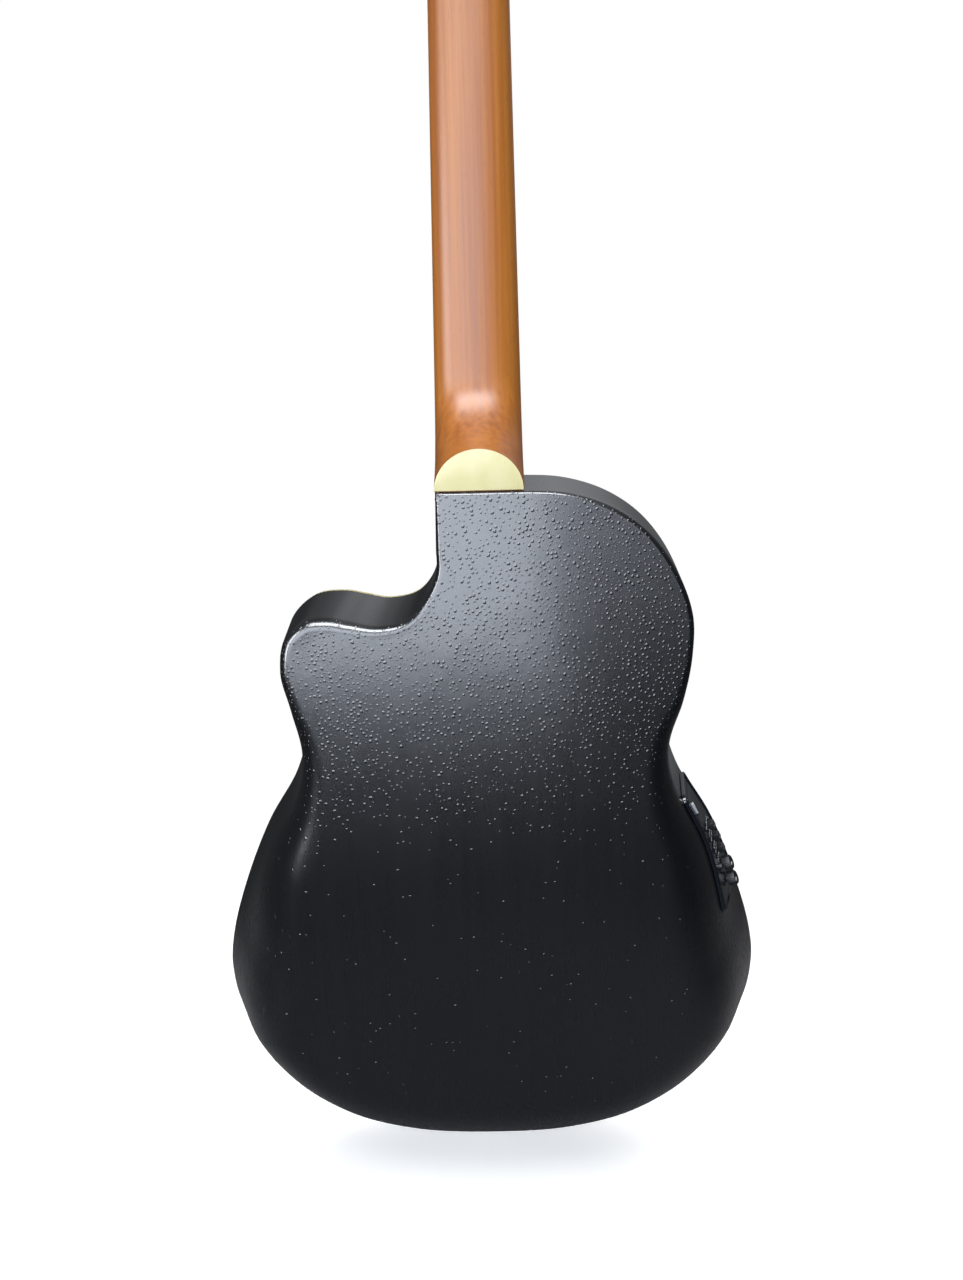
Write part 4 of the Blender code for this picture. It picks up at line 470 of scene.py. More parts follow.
# Long faint streaks run down the back where it was wiped, about 6 mm wide.
streak, cloud = mottle(tree, (150.0, 150.0, 6.0), 3.0), mottle(tree, (14.0, 14.0, 14.0), 3.0)
both = add(tree, "ShaderNodeMix", {0: 0.45, 2: streak, 3: cloud})
sheen = add(tree, "ShaderNodeMapRange", [both, 0.35, 0.65, 0.26, 0.29])
# The mould's fine spark-eroded grain is about 0.4 mm, drawn a little coarser so that it shows.
ripple = {"Height": mottle(tree, (45.0, 45.0, 45.0)), "Strength": 0.06, "Distance": 0.0015}
grain = {"Height": mottle(tree, (1500.0, 1500.0, 1500.0)), "Strength": 0.10, "Distance": 0.0002}
fine = add(tree, "ShaderNodeBump", {**grain, "Normal": add(tree, "ShaderNodeBump", ripple)})
connect(tree, shader, {"Roughness": sheen, "Normal": fine, "Coat Normal": fine})

outer = bowl_rings(8, 14, (0.1, 0.22, 0.36, 0.5, 0.62))
inner = bowl_rings(2, 3, (0.3, 0.6), BOWL_WALL)
rings = [[tuple(map(float, p)) for p in r] for r in inner[::-1] + outer]
points, faces = loft(rings)
n = len(OUTLINE)
start = len(points) - n
faces[0:2] = fill([[(x, z) for x, _, z in rings[0]]])
faces += [tuple(start + i for i in t) for t in fill([[(x, z) for x, _, z in rings[-1]]])]
bowl = piece("moulded_back", points, faces, moulded_abs, 50.0)
dress(bowl, "moulded_black", "bowl_shell")

# Raised grains
#
# The mould leaves a sprinkle of drop-like grains on the shell's skin, 1 to 2.3 mm across and at least 2.4 mm
# apart, of the same plastic. They are thickest on the upper back and die out below the waist.


def new_growth(name, **inputs):
    """A Geometry Nodes tree with named numbers, and the sockets that give them."""
    tree = bpy.data.node_groups.new(name, "GeometryNodeTree")
    tree.interface.new_socket("Geometry", in_out="INPUT", socket_type="NodeSocketGeometry")
    tree.interface.new_socket("Geometry", in_out="OUTPUT", socket_type="NodeSocketGeometry")
    for key, value in inputs.items():
        tree.interface.new_socket(key, in_out="INPUT", socket_type="NodeSocketFloat").default_value = value
    return tree, add(tree, "NodeGroupInput").outputs


def finish_growth(tree, instances, look):
    """Ends a tree with real geometry in one material, shaded smooth."""
    real = add(tree, "GeometryNodeRealizeInstances", {0: instances})
    smooth = add(tree, "GeometryNodeSetShadeSmooth", {0: real})
    done = add(tree, "GeometryNodeSetMaterial", {"Geometry": smooth, "Material": look})
    add(tree, "NodeGroupOutput", {0: done})


def grow(made, tree, **values):
    """Runs a tree on an object and keeps the result as a plain mesh."""
    step = made.modifiers.new("growth", "NODES")
    step.node_group = tree
    for item in tree.interface.items_tree:
        if item.in_out == "INPUT" and item.name in values:
            step[item.identifier] = values[item.name]
    bake(made)


tree, given = new_growth(
    "drop_grains",
    Spacing=0.0024,
    Density=230000.0,
    Small=0.0005,
    Large=0.00115,
    Fade_Top=-0.48,
    Fade_Foot=-0.58,
)
spot = add(tree, "GeometryNodeInputPosition")
height = add(tree, "ShaderNodeSeparateXYZ", [spot]).outputs["Z"]
facing = add(tree, "ShaderNodeSeparateXYZ", [add(tree, "GeometryNodeInputNormal")]).outputs["Y"]
outside = add(tree, "ShaderNodeMapRange", [facing, 0.3, 0.6])
fade = add(tree, "ShaderNodeMapRange", [height, given["Fade_Foot"], given["Fade_Top"], 0.04])
patchy = add(tree, "ShaderNodeTexNoise", {"Vector": spot, "Scale": 30.0})
thick = add(tree, "ShaderNodeMapRange", [patchy, 0.3, 0.55, 0.6])
share = add(tree, "ShaderNodeMath", [outside, fade], operation="MULTIPLY")
share = add(tree, "ShaderNodeMath", [share, thick], operation="MULTIPLY")
spread = add(
    tree,
    "GeometryNodeDistributePointsOnFaces",
    {"Mesh": given["Geometry"], "Distance Min": given["Spacing"], "Density Max": given["Density"]}
    | {"Density Factor": share, "Seed": 7},
    distribute_method="POISSON",
)
ball = add(tree, "GeometryNodeMeshUVSphere", {"Segments": 10, "Rings": 6, "Radius": 1.0})
flat = add(tree, "GeometryNodeTransform", {"Geometry": ball, "Scale": (1.0, 1.0, 0.19)})
high = add(tree, "ShaderNodeSeparateXYZ", [add(tree, "GeometryNodeInputPosition")]).outputs["Z"]
under = add(tree, "FunctionNodeCompare", [high, -0.05], operation="LESS_THAN")
dome = add(tree, "GeometryNodeDeleteGeometry", {"Geometry": flat, "Selection": under})
chance = add(tree, "FunctionNodeRandomValue", {2: 0.0, 3: 1.0, "Seed": 3}).outputs[1]
room_left = add(tree, "ShaderNodeMath", [given["Large"], given["Small"]], operation="SUBTRACT")
chance = add(tree, "ShaderNodeMath", [chance, 1.3], operation="POWER")
size = add(tree, "ShaderNodeMath", [chance, room_left, given["Small"]], operation="MULTIPLY_ADD")
longer = add(tree, "FunctionNodeRandomValue", {2: 0.8, 3: 1.25, "Seed": 5})
wide = add(tree, "ShaderNodeMath", [size, longer.outputs[1]], operation="MULTIPLY")
shape = add(tree, "ShaderNodeCombineXYZ", [wide, size, size])
turn = add(tree, "FunctionNodeRandomValue", {2: 0.0, 3: 2 * math.pi, "Seed": 9})
about = add(tree, "ShaderNodeCombineXYZ", {2: turn.outputs[1]})
turning = {"Rotation": spread.outputs["Rotation"], "Rotate By": about}
turning = add(tree, "FunctionNodeRotateRotation", turning, rotation_space="LOCAL")
drops = {"Points": spread, "Instance": dome, "Rotation": turning, "Scale": shape}
placed = add(tree, "GeometryNodeInstanceOnPoints", drops)
finish_growth(tree, placed, moulded_abs)
grains = bpy.data.objects.new("raised_grains", bowl.data.copy())
scene_links(grains)
grow(grains, tree)
dress(grains, "moulded_black")

# Edge binding
#
# A cream plastic strip, 2.5 mm wide, bent round the edge of the soundboard and scraped round at its corner.
# A hair of dark seam parts it from the moulded shell.

BINDING_WIDE = 2.5
GAP = 0.3
ROUND = 0.9


def band(rings):
    """Points and faces of closed rings joined in a closed row."""
    n, rows, faces = len(rings[0]), len(rings), []
    for k in range(rows):
        m = (k + 1) % rows
        faces += [(k * n + i, k * n + (i + 1) % n, m * n + (i + 1) % n, m * n + i) for i in range(n)]
    return [p for ring in rings for p in ring], faces


def set_stops(ramp, *stops):
    """Gives a colour ramp its stops, each a place and an sRGB code."""
    while len(ramp.color_ramp.elements) < len(stops):
        ramp.color_ramp.elements.new(0.5)
    for element, (place, code) in zip(ramp.color_ramp.elements, stops):
        element.position = place
        element.color = linear(code)
    return ramp


def textured(tree, shader, value, stops=(), gloss=(), raised=0.0, strength=1.0):
    """Colour stops, a range of roughness and a bump of this many millimetres, all from one pattern."""
    if stops:
        connect(tree, shader, {"Base Color": set_stops(add(tree, "ShaderNodeValToRGB", [value]), *stops)})
    if gloss:
        connect(tree, shader, {"Roughness": add(tree, "ShaderNodeMapRange", [value, 0.3, 0.7, *gloss])})
    if raised:
        bump = {"Height": value, "Strength": strength, "Distance": raised * MM}
        connect(tree, shader, {"Normal": add(tree, "ShaderNodeBump", bump)})


cream, tree, shader = new_finish("cream_plastic", "E0D79E", 0.32)
textured(tree, shader, mottle(tree, (60.0, 60.0, 60.0), 4.0), ((0.3, "DCD296"), (0.7, "E4DCA6")))
# Fine scuffs, about 1 mm wide and 8 mm long, dull the gloss here and there.
textured(tree, shader, mottle(tree, (900.0, 900.0, 120.0), 3.0), gloss=(0.26, 0.42), raised=0.02)

binding_low = RIM_Y - GAP
binding_section = [
    (0.0, binding_low), (0.0, ROUND), (ROUND * 0.29, ROUND * 0.29),
    (ROUND, 0.0), (BINDING_WIDE, 0.0), (BINDING_WIDE, binding_low),
]
hoop = band([to_world(inset(ONES * away), y * ONES) for away, y in binding_section])
binding = piece("cream_binding", *hoop, cream)
dress(binding, "cream_plastic", "edge_binding")

# Soundboard and rosette
#
# Two matched halves of quartersawn spruce, 2.6 mm thick, joined on the centre line and lacquered.
# A ring of dark and pale wood is let in round the soundhole. Spruce bars and a lining are glued underneath.

TOP_THICK = 2.6
HOLE_RADIUS = 42.5
FRETS = 19
BOARD_END = NUT_Z - SCALE_LENGTH * (1 - 2 ** (-FRETS / 12)) - 7.0
HOLE_Z = BOARD_END - 3.4 - HOLE_RADIUS
ROSETTE = (HOLE_RADIUS + 3.0, HOLE_RADIUS + 17.0)
SADDLE_Z = NUT_Z - SCALE_LENGTH - 1.5
LEAD_HOLE_X = 34.0  # the pickup's lead goes down here


def upright(a, b, c):
    """Places a flat shape in X and Z, and its thickness in Y."""
    return a, c, b


def prism_mesh(loops, low, high, place=lambda a, b, c: (a, b, c)):
    """Points and faces of a flat shape with holes, in X and Y and thick in Z unless placed otherwise."""
    flat = [p for loop in loops for p in loop]
    n = len(flat)
    flats = fill(loops)
    points = [place(a, b, low) for a, b in flat] + [place(a, b, high) for a, b in flat]
    faces = flats + [tuple(i + n for i in reversed(t)) for t in flats]
    start = 0
    for loop in loops:
        for i in range(len(loop)):
            j = start + (i + 1) % len(loop)
            faces.append((start + i, j, j + n, start + i + n))
        start += len(loop)
    return points, faces


def soften(made, width, segments=3, angle=40.0):
    """Rounds the edges sharper than the angle."""
    step = made.modifiers.new("soften", "BEVEL")
    step.width = width * MM
    step.segments = segments
    step.limit_method = "ANGLE"
    step.angle_limit = math.radians(angle)
    bake(made)
    tidy_mesh(made, 50.0)
    return made


def wood(name, along, dark, pale, ring, lacquer, wave):
    """Wood with its growth lines along Z or X, this many millimetres apart, with pores and lacquer."""
    look, tree, shader = new_finish(name, pale, 0.45, Coat_Weight=lacquer, Coat_Roughness=0.22)
    squeeze = np.array((1.0, 1.0, 0.02) if along == "Z" else (0.02, 1.0, 1.0))
    where = add(tree, "ShaderNodeTexCoord").outputs["Object"]
    place = add(tree, "ShaderNodeSeparateXYZ", [where]).outputs["X" if along == "Z" else "Z"]
    mirrored = add(tree, "ShaderNodeMath", [place], operation="ABSOLUTE")
    drift = mottle(tree, 7.0 * squeeze)
    shifted = add(tree, "ShaderNodeMath", [drift, 0.08 * wave, mirrored], operation="MULTIPLY_ADD")
    phase = add(tree, "ShaderNodeMath", [shifted, 2 * math.pi / (ring * MM)], operation="MULTIPLY")
    waves = add(tree, "ShaderNodeMath", [phase], operation="SINE")
    waves = add(tree, "ShaderNodeMapRange", [waves, -1.0, 1.0])
    line = add(tree, "ShaderNodeMath", [waves, 3.0], operation="POWER")
    streak = mottle(tree, 220.0 * squeeze, 5.0)
    tone = add(tree, "ShaderNodeMath", [line, wave], operation="MULTIPLY")
    tone = add(tree, "ShaderNodeMath", [streak, 0.75, tone], operation="MULTIPLY_ADD")
    textured(tree, shader, tone, ((0.25, pale), (0.75, dark)))
    connect(tree, shader, {"Roughness": add(tree, "ShaderNodeMapRange", [streak, 0.2, 0.8, 0.36, 0.52])})
    pores = add(tree, "ShaderNodeMapRange", [mottle(tree, 1500.0 * squeeze, 3.0), 0.56, 0.66, 0.0, -1.0])
    textured(tree, shader, pores, raised=0.05, strength=0.5)
    return look


spruce = wood("lacquered_spruce", "Z", "B98A52", "DDB378", 1.3, 0.6, 0.5)
bare_spruce = wood("bare_spruce", "X", "CDA676", "E2C79A", 1.6, 0.0, 0.5)

edge = to_world(inset(ONES * (BINDING_WIDE + GAP)), 0.0 * ONES)
board_loop = [(float(x), float(z)) for x, _, z in edge]
holes = [circle(HOLE_RADIUS, 96, (0.0, HOLE_Z)), circle(1.4, 20, (LEAD_HOLE_X, SADDLE_Z))]
top = piece("spruce_top", *prism_mesh([board_loop] + holes, 0.0, TOP_THICK, upright), spruce)
dress(top, "spruce", "soundboard")

inlay, tree, shader = new_finish("rosette_inlay", "6B4A2E", 0.35, Coat_Weight=0.5, Coat_Roughness=0.2)
where = add(tree, "ShaderNodeTexCoord").outputs["Object"]
centred = add(tree, "ShaderNodeMapping", {0: where, "Location": (0.0, 0.0, -HOLE_Z * MM)})
way = add(tree, "ShaderNodeSeparateXYZ", [centred]).outputs
turn = add(tree, "ShaderNodeMath", [way["Z"], way["X"]], operation="ARCTAN2")
level = add(tree, "ShaderNodeCombineXYZ", [way["X"], 0.0, way["Z"]])
away = add(tree, "ShaderNodeVectorMath", [level], operation="LENGTH").outputs["Value"]
radial = add(tree, "ShaderNodeMapRange", [away, ROSETTE[0] * MM, ROSETTE[1] * MM])
# The middle band is a mosaic of end-grain blocks, about 2 mm each, between thin dyed lines.
blocks = add(tree, "ShaderNodeMath", [turn, 30.0 / math.pi * 2.0], operation="MULTIPLY")
blocks = add(tree, "ShaderNodeMath", [blocks, 1.0], operation="PINGPONG")
checks = add(tree, "ShaderNodeMath", [radial, 14.0, blocks], operation="MULTIPLY_ADD")
checks = add(tree, "ShaderNodeMath", [checks, 1.0], operation="PINGPONG")
mosaic = set_stops(add(tree, "ShaderNodeValToRGB", [checks]), (0.45, "2A1A12"), (0.55, "C79A5B"))
lines = set_stops(
    add(tree, "ShaderNodeValToRGB", [radial]),
    (0.0, "1C130E"), (0.06, "D9B98A"), (0.1, "7A2A1C"), (0.16, "D9B98A"), (0.2, "2A1A12"), (0.26, "C79A5B"),
    (0.72, "C79A5B"), (0.76, "2A1A12"), (0.82, "D9B98A"), (0.86, "3D4A2C"), (0.92, "D9B98A"),
    (0.97, "1C130E"),
)
lines.color_ramp.interpolation = "CONSTANT"
past_start = add(tree, "ShaderNodeMath", [radial, 0.26], operation="GREATER_THAN")
before_end = add(tree, "ShaderNodeMath", [radial, 0.72], operation="LESS_THAN")
middle = add(tree, "ShaderNodeMath", [past_start, before_end], operation="MULTIPLY")
mixed = add(tree, "ShaderNodeMix", {0: middle, 6: lines, 7: mosaic}, data_type="RGBA")
fibre = mottle(tree, (1200.0, 1200.0, 60.0), 3.0)
gloss = add(tree, "ShaderNodeMapRange", [fibre, 0.2, 0.8, 0.28, 0.42])
connect(tree, shader, {"Base Color": mixed.outputs[2], "Roughness": gloss})
textured(tree, shader, fibre, raised=0.02)
low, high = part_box("rosette")[0].y / MM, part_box("rosette")[1].y / MM
rings = [circle(r, 144, (0.0, HOLE_Z)) for r in reversed(ROSETTE)]
rosette = piece("inlaid_rosette", *prism_mesh(rings, low, high, upright), inlay)
half, foot = neck_half(BOARD_END - JOINT_Z) + GAP, BOARD_END - GAP
under_board = [(-half, foot), (half, foot), (half, 0.0), (-half, 0.0)]
cut(rosette, piece("cut_board", *prism_mesh([under_board], -5.0, 5.0, upright), inlay))
dress(rosette, "rosewood", "rosette")


def finish(look, *nodes):
    """Gives a finish to CAD nodes that keep their shape."""
    for name in nodes:
        for place in frame["nodes"][name].material_slots:
            place.material = look


finish(bare_spruce, "top_lining", "upper_brace", "lower_brace", "fan_strut_1", "fan_strut_2", "fan_strut_3")

# Neck, heel and head
#
# One long piece of mahogany, carved to a soft D at the back, with its heel, its slotted head tilted back 13
# degrees and the bores for the rollers. It is stained, and sprayed with a thin satin lacquer.

NECK_DEEP_NUT = 16.5
NECK_DEEP_HEEL = 19.5
SIDE_POWER = 2.4
BACK_POWER = 2.2
HEEL_HALF = 28.1
HEEL_APEX = 17.3
HEEL_FOOT = -8.0
HEEL_START = 66.0
CAP_THICK = 1.8
HEEL_WOOD_Y = HEEL_DEPTH - CAP_THICK - GAP
HEEL_SLOPE = WALL_LEAN / (HEEL_DEPTH - RIDGE_ROUND - RIM_Y)
HEAD_TILT = math.radians(13.0)
HEAD_HALF = 37.0
HEAD_TOP = 172.0
HEAD_THICK = 20.0
FACE_LIFT = 8.0
SLOT_INNER, SLOT_OUTER = 7.0, 23.0
SLOT_START, SLOT_END = 17.0, 133.0
ROLLER_AT = (45.0, 80.0, 115.0)
ROLLER_RADIUS = 5.0
ROLLER_AXIS = 10.0
BOLT_RADIUS = 3.0


def head_face(z):
    """Depth of the head's sloping face at a height."""
    return (z + FACE_LIFT) * math.tan(HEAD_TILT)


def heel_cap_half(above):
    """Half the width of the heel's end, at a height above the joint."""
    share = (max(above, HEEL_FOOT) - HEEL_FOOT) / (HEEL_APEX - HEEL_FOOT)
    return HEEL_HALF * math.sqrt(max(0.0, 1 - share * share))


def neck_deep(above):
    """Depth of the neck's back from its top, at a height above the joint."""
    if above >= HEEL_START:
        share = (above - HEEL_START) / (SCALE_LENGTH / 2 - HEEL_START)
        return NECK_DEEP_HEEL + (NECK_DEEP_NUT - NECK_DEEP_HEEL) * min(share, 1.0)
    if above >= HEEL_APEX:
        t = (HEEL_START - above) / (HEEL_START - HEEL_APEX)
        curve = 0.4 * t * t + 0.6 * (1 - math.sqrt(1 - (0.92 * t) ** 2)) / (1 - math.sqrt(1 - 0.92**2))
        return NECK_DEEP_HEEL + (HEEL_WOOD_Y - NECK_DEEP_HEEL) * curve
    full = 1 - (heel_cap_half(above) / neck_half(above)) ** SIDE_POWER
    return HEEL_WOOD_Y / full ** (1 / BACK_POWER)


def neck_section(z, half, top, deep, count=44):
    """The neck's D-shaped outline at one height."""
    ring = []
    for i in range(count + 1):
        turn = math.pi * i / count
        x = half * math.copysign(abs(math.cos(turn)) ** (2 / SIDE_POWER), math.cos(turn))
        ring.append((x, top + (deep - top) * math.sin(turn) ** (2 / BACK_POWER), z))
    return ring


def bar(start, way, radius, low, high, count=24):
    """Points and faces of a round bar along a direction through a point, in millimetres."""
    turn = Vector(way).normalized().to_track_quat("Z", "Y").to_matrix()
    rings = []
    for away in (low, high):
        middle = Vector(start) + Vector(way).normalized() * away
        rings.append([tuple(middle + turn @ Vector((x, y, 0.0))) for x, y in circle(radius, count)])
    return loft(rings)


def joined(parts):
    """Several meshes' points and faces as one."""
    points, faces = [], []
    for more, their in parts:
        faces += [tuple(i + len(points) for i in face) for face in their]
        points += more
    return points, faces


mahogany, tree, shader = new_finish("satin_mahogany", "A8622C", 0.4, Coat_Weight=0.18, Coat_Roughness=0.3)
streak = mottle(tree, (260.0, 260.0, 3.0), 5.0)
broad = mottle(tree, (34.0, 34.0, 1.6))
tone = add(tree, "ShaderNodeMath", [broad, 0.45], operation="MULTIPLY")
tone = add(tree, "ShaderNodeMath", [streak, 0.55, tone], operation="MULTIPLY_ADD")
stain = set_stops(add(tree, "ShaderNodeValToRGB", [tone]), (0.3, "98521C"), (0.5, "B46A20"), (0.7, "C47C28"))
# Open pores run with the grain as dark dashes, about 0.25 mm wide and 4 mm long, drawn at their real size.
pores = add(tree, "ShaderNodeMapRange", [mottle(tree, (2400.0, 2400.0, 150.0)), 0.60, 0.72])
darker = add(tree, "ShaderNodeMath", [pores, 0.35], operation="MULTIPLY")
mixed = add(tree, "ShaderNodeMix", {0: darker, 6: stain, 7: linear("7A441C")}, data_type="RGBA")
connect(tree, shader, {"Base Color": mixed.outputs[2]})
textured(tree, shader, streak, gloss=(0.34, 0.46))
sunk = add(tree, "ShaderNodeMath", [pores, -1.0], operation="MULTIPLY")
textured(tree, shader, sunk, raised=0.03, strength=0.6)

HEEL_STATIONS = (-0.16, 0.0, 0.1, 0.2, 0.3, 0.4, 0.5, 0.6, 0.68, 0.75, 0.81, 0.87, 0.93)
CURVE_STATIONS = (0.035, 0.075, 0.12, 0.165, 0.22, 0.275, 0.34, 0.42, 0.51, 0.62, 0.73, 0.86, 1.0)
NECK_STATIONS = (0.08, 0.17, 0.3, 0.45, 0.6, 0.75, 0.865)
stations = [HEEL_FOOT + (HEEL_APEX - HEEL_FOOT) * share for share in HEEL_STATIONS]
stations += [HEEL_APEX + (HEEL_START - HEEL_APEX) * share for share in CURVE_STATIONS]
stations += [HEEL_START + (SCALE_LENGTH / 2 - HEEL_START) * share for share in NECK_STATIONS]
rings = [neck_section(JOINT_Z + above, neck_half(above), 0.0, neck_deep(above)) for above in stations]
# The neck thickens behind the nut, where the head leaves it.
for t in (0.0, 0.25, 0.5, 0.75, 1.0):
    deep = NECK_DEEP_NUT + 2.5 + 2.0 * smoothstep(0.0, 1.0, t)
    top = (head_face(0.0) + 0.15) * t
    rings.append(neck_section(-FACE_LIFT * (1 - t), NUT_WIDTH / 2 + 0.6 * t, top, deep))
rings.append(neck_section(5.0, NUT_WIDTH / 2 + 0.8, head_face(5.0) + 2.0, NECK_DEEP_NUT + 3.5))
neck = piece("carved_neck", *loft(rings), mahogany, 35.0)

# The heel is sawn to lie on the soundboard's edge and the shell's wall, and its end is sawn for the cap.
past = HEEL_DEPTH + 22.0
foot, end = JOINT_Z + GAP, JOINT_Z - past
half_way = JOINT_Z + (HEEL_APEX + HEEL_START) / 2
slanted = foot - (past - RIM_Y) * HEEL_SLOPE
foot_edge = [(-past, foot), (RIM_Y, foot), (past, slanted), (past, end), (-past, end)]
cap_side = [(HEEL_WOOD_Y, end), (HEEL_WOOD_Y * 5, end), (HEEL_WOOD_Y * 5, half_way), (HEEL_WOOD_Y, half_way)]
for loop in (foot_edge, cap_side):
    sawn = prism_mesh([loop], -JOINT_WIDTH, JOINT_WIDTH, lambda a, b, c: (c, a, b))
    cut(neck, piece("cut_heel", *sawn, mahogany), angle=35.0)


def head_slot(side, count=17):
    """Outline of one string slot, with round ends."""
    middle = side * (SLOT_INNER + SLOT_OUTER) / 2
    radius = (SLOT_OUTER - SLOT_INNER) / 2
    low = SLOT_START * math.cos(HEAD_TILT) + radius
    high = SLOT_END * math.cos(HEAD_TILT) - radius
    ends = []
    for end, start in ((high, 0.0), (low, math.pi)):
        for t in np.linspace(start, start + math.pi, count):
            ends.append((middle + radius * math.cos(t), end + radius * math.sin(t)))
    return ends


def crest(x):
    """Height of the head's top edge: a low arch between two small ears."""
    share = abs(x) / HEAD_HALF
    fall = 2.0 * smoothstep(0.0, 0.38, share) + 6.0 * smoothstep(0.34, 0.72, share) + 1.0 * (share > 0.7)
    return HEAD_TOP - fall


arch = [(x, float(crest(x))) for x in np.linspace(0.72, -0.72, 33) * HEAD_HALF]
head_outline = arch + [
    (-HEAD_HALF + 2.0, HEAD_TOP - 9.0),
    (-HEAD_HALF, HEAD_TOP - 12.0),
    (-HEAD_HALF, 3.0),
    (-HEAD_HALF + 3.0, 0.0),
    (HEAD_HALF - 3.0, 0.0),
    (HEAD_HALF, 3.0),
    (HEAD_HALF, HEAD_TOP - 12.0),
    (HEAD_HALF - 2.0, HEAD_TOP - 9.0),
]
slots = [head_slot(1), head_slot(-1)]
through = HEAD_THICK / math.cos(HEAD_TILT)
sloping = prism_mesh([head_outline] + slots, 0.0, through, lambda a, b, c: (a, head_face(b) + c, b))
head = piece("head", *sloping, mahogany)
soften(head, 0.9, 2, 60.0)
cut(neck, head, "UNION", 35.0)

UP = Vector((0.0, math.sin(HEAD_TILT), math.cos(HEAD_TILT)))  # along the head
BACK = Vector((0.0, math.cos(HEAD_TILT), -math.sin(HEAD_TILT)))  # through the head, to its back
HEAD_ORIGIN = Vector((0.0, head_face(0.0), 0.0))
BORE_END = SLOT_INNER - 3.5


def on_head(x, up, back):
    """A point on the head, by its own axes."""
    return HEAD_ORIGIN + Vector((x, 0, 0)) + UP * up + BACK * back


bores = [
    bar(on_head(0, up, ROLLER_AXIS), (side, 0, 0), ROLLER_RADIUS + 0.4, BORE_END, HEAD_HALF + 3)
    for side in (-1, 1)
    for up in ROLLER_AT
]
cut(neck, piece("cut_rollers", *joined(bores), mahogany), angle=35.0)
bolt_low, bolt_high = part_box("neck_bolt")
bolt_middle = (bolt_low + bolt_high) / 2 / MM
bolt_end = bolt_high.z / MM - JOINT_Z + 0.4
bolt_bore = bar((0.0, bolt_middle.y, JOINT_Z), (0, 0, 1), BOLT_RADIUS + GAP, -40.0, bolt_end)
cut(neck, piece("cut_bolt", *bolt_bore, mahogany), angle=35.0)
dress(neck, "satin_mahogany", "neck")

# Heel cap
#
# A half-round slip of cream plastic, 1.8 mm thick, glued on the heel's end and sanded flush, with soft edges.
# It is the same plastic as the binding.

cap_low, cap_tall = JOINT_Z + HEEL_FOOT, HEEL_APEX - HEEL_FOOT
turns = np.linspace(0, math.pi, 65)[1:-1]
arch = [(HEEL_HALF * math.cos(t), cap_low + cap_tall * math.sin(t)) for t in turns]
cap_loop = [(HEEL_HALF, cap_low), *arch, (-HEEL_HALF, cap_low)]
cap = piece("cream_heel_cap", *prism_mesh([cap_loop], HEEL_DEPTH - CAP_THICK, HEEL_DEPTH, upright), cream)
soften(cap, 0.45, 3, 60.0)
dress(cap, "cream_plastic", "heel_cap")

# Fingerboard and frets
#
# A slip of rosewood, 5.5 mm thick and unlacquered, is glued on the neck and over the soundboard to the hole.
# Nineteen nickel-silver frets with half-round crowns are pressed into its slots and filed flush at the sides.

BOARD_THICK = 5.5
FRET_HIGH = 1.1
FRET_WIDE = 2.2

rosewood, tree, shader = new_finish("dark_rosewood", "3A2018", 0.5)
streak, broad = mottle(tree, (420.0, 420.0, 5.0), 6.0), mottle(tree, (90.0, 90.0, 2.5))
tone = add(tree, "ShaderNodeMath", [broad, 0.4], operation="MULTIPLY")
tone = add(tree, "ShaderNodeMath", [streak, 0.6, tone], operation="MULTIPLY_ADD")
textured(tree, shader, tone, ((0.32, "1E100C"), (0.5, "3E2319"), (0.7, "5E3A28")))
# Pores like short scratches, 0.2 mm wide and 3 mm long.
pores = add(tree, "ShaderNodeMapRange", [mottle(tree, (2600.0, 2600.0, 190.0)), 0.58, 0.68])
connect(tree, shader, {"Roughness": add(tree, "ShaderNodeMapRange", [pores, 0.0, 1.0, 0.42, 0.75])})
sunk = add(tree, "ShaderNodeMath", [pores, -1.0], operation="MULTIPLY")
textured(tree, shader, sunk, raised=0.08, strength=0.7)

board_front = -GAP - BOARD_THICK
rings = []
for at in np.linspace(NUT_Z - GAP, BOARD_END, 20):
    half = neck_half(at - JOINT_Z)
    edge = [(half, -GAP), (half, board_front + 0.8)]
    edge += [(half - 0.25, board_front + 0.23), (half - 0.8, board_front)]
    section = [(-x, y) for x, y in edge] + [(x * half, board_front) for x in (-0.5, 0.0, 0.5)] + edge[::-1]
    rings.append([(x, y, at) for x, y in section])
board = piece("rosewood_fingerboard", *loft(rings), rosewood, 30.0)
dress(board, "rosewood", "fingerboard")

nickel, tree, shader = new_finish("nickel_silver", "C9C8C2", 0.22, Metallic=1.0)
# Polishing marks run along each wire, about 1 mm apart.
along = mottle(tree, (60.0, 900.0, 900.0), 3.0)
textured(tree, shader, along, ((0.3, "BDBBB4"), (0.7, "D2D1CC")), (0.16, 0.30), 0.01)

# One wire is drawn a metre to each side, and then each fret's scale is half its own length in metres.
wire_half = FRET_WIDE / 2
wire_top = [(wire_half * math.cos(t), -FRET_HIGH * math.sin(t)) for t in np.linspace(0, math.pi, 9)]
wire_side = wire_top + [(-wire_half, 0.35), (wire_half, 0.35)]
rings = []
for x, size in ((-1.0, 0.72), (-0.985, 0.95), (-0.97, 1.0), (0.97, 1.0), (0.985, 0.95), (1.0, 0.72)):
    rings.append([(x / MM, y * (size if y < 0 else 1.0), z * size) for z, y in wire_side])
wire = piece("fret_wire", *loft(rings), nickel, 45.0)

tree, given = new_growth("fret_row", Frets=19.0, Scale_Length=0.65, Nut_Z=-0.013, Board_Y=-0.0058)
count = add(tree, "FunctionNodeFloatToInt", [given["Frets"]])
row = add(tree, "GeometryNodeMeshLine", {"Count": count})
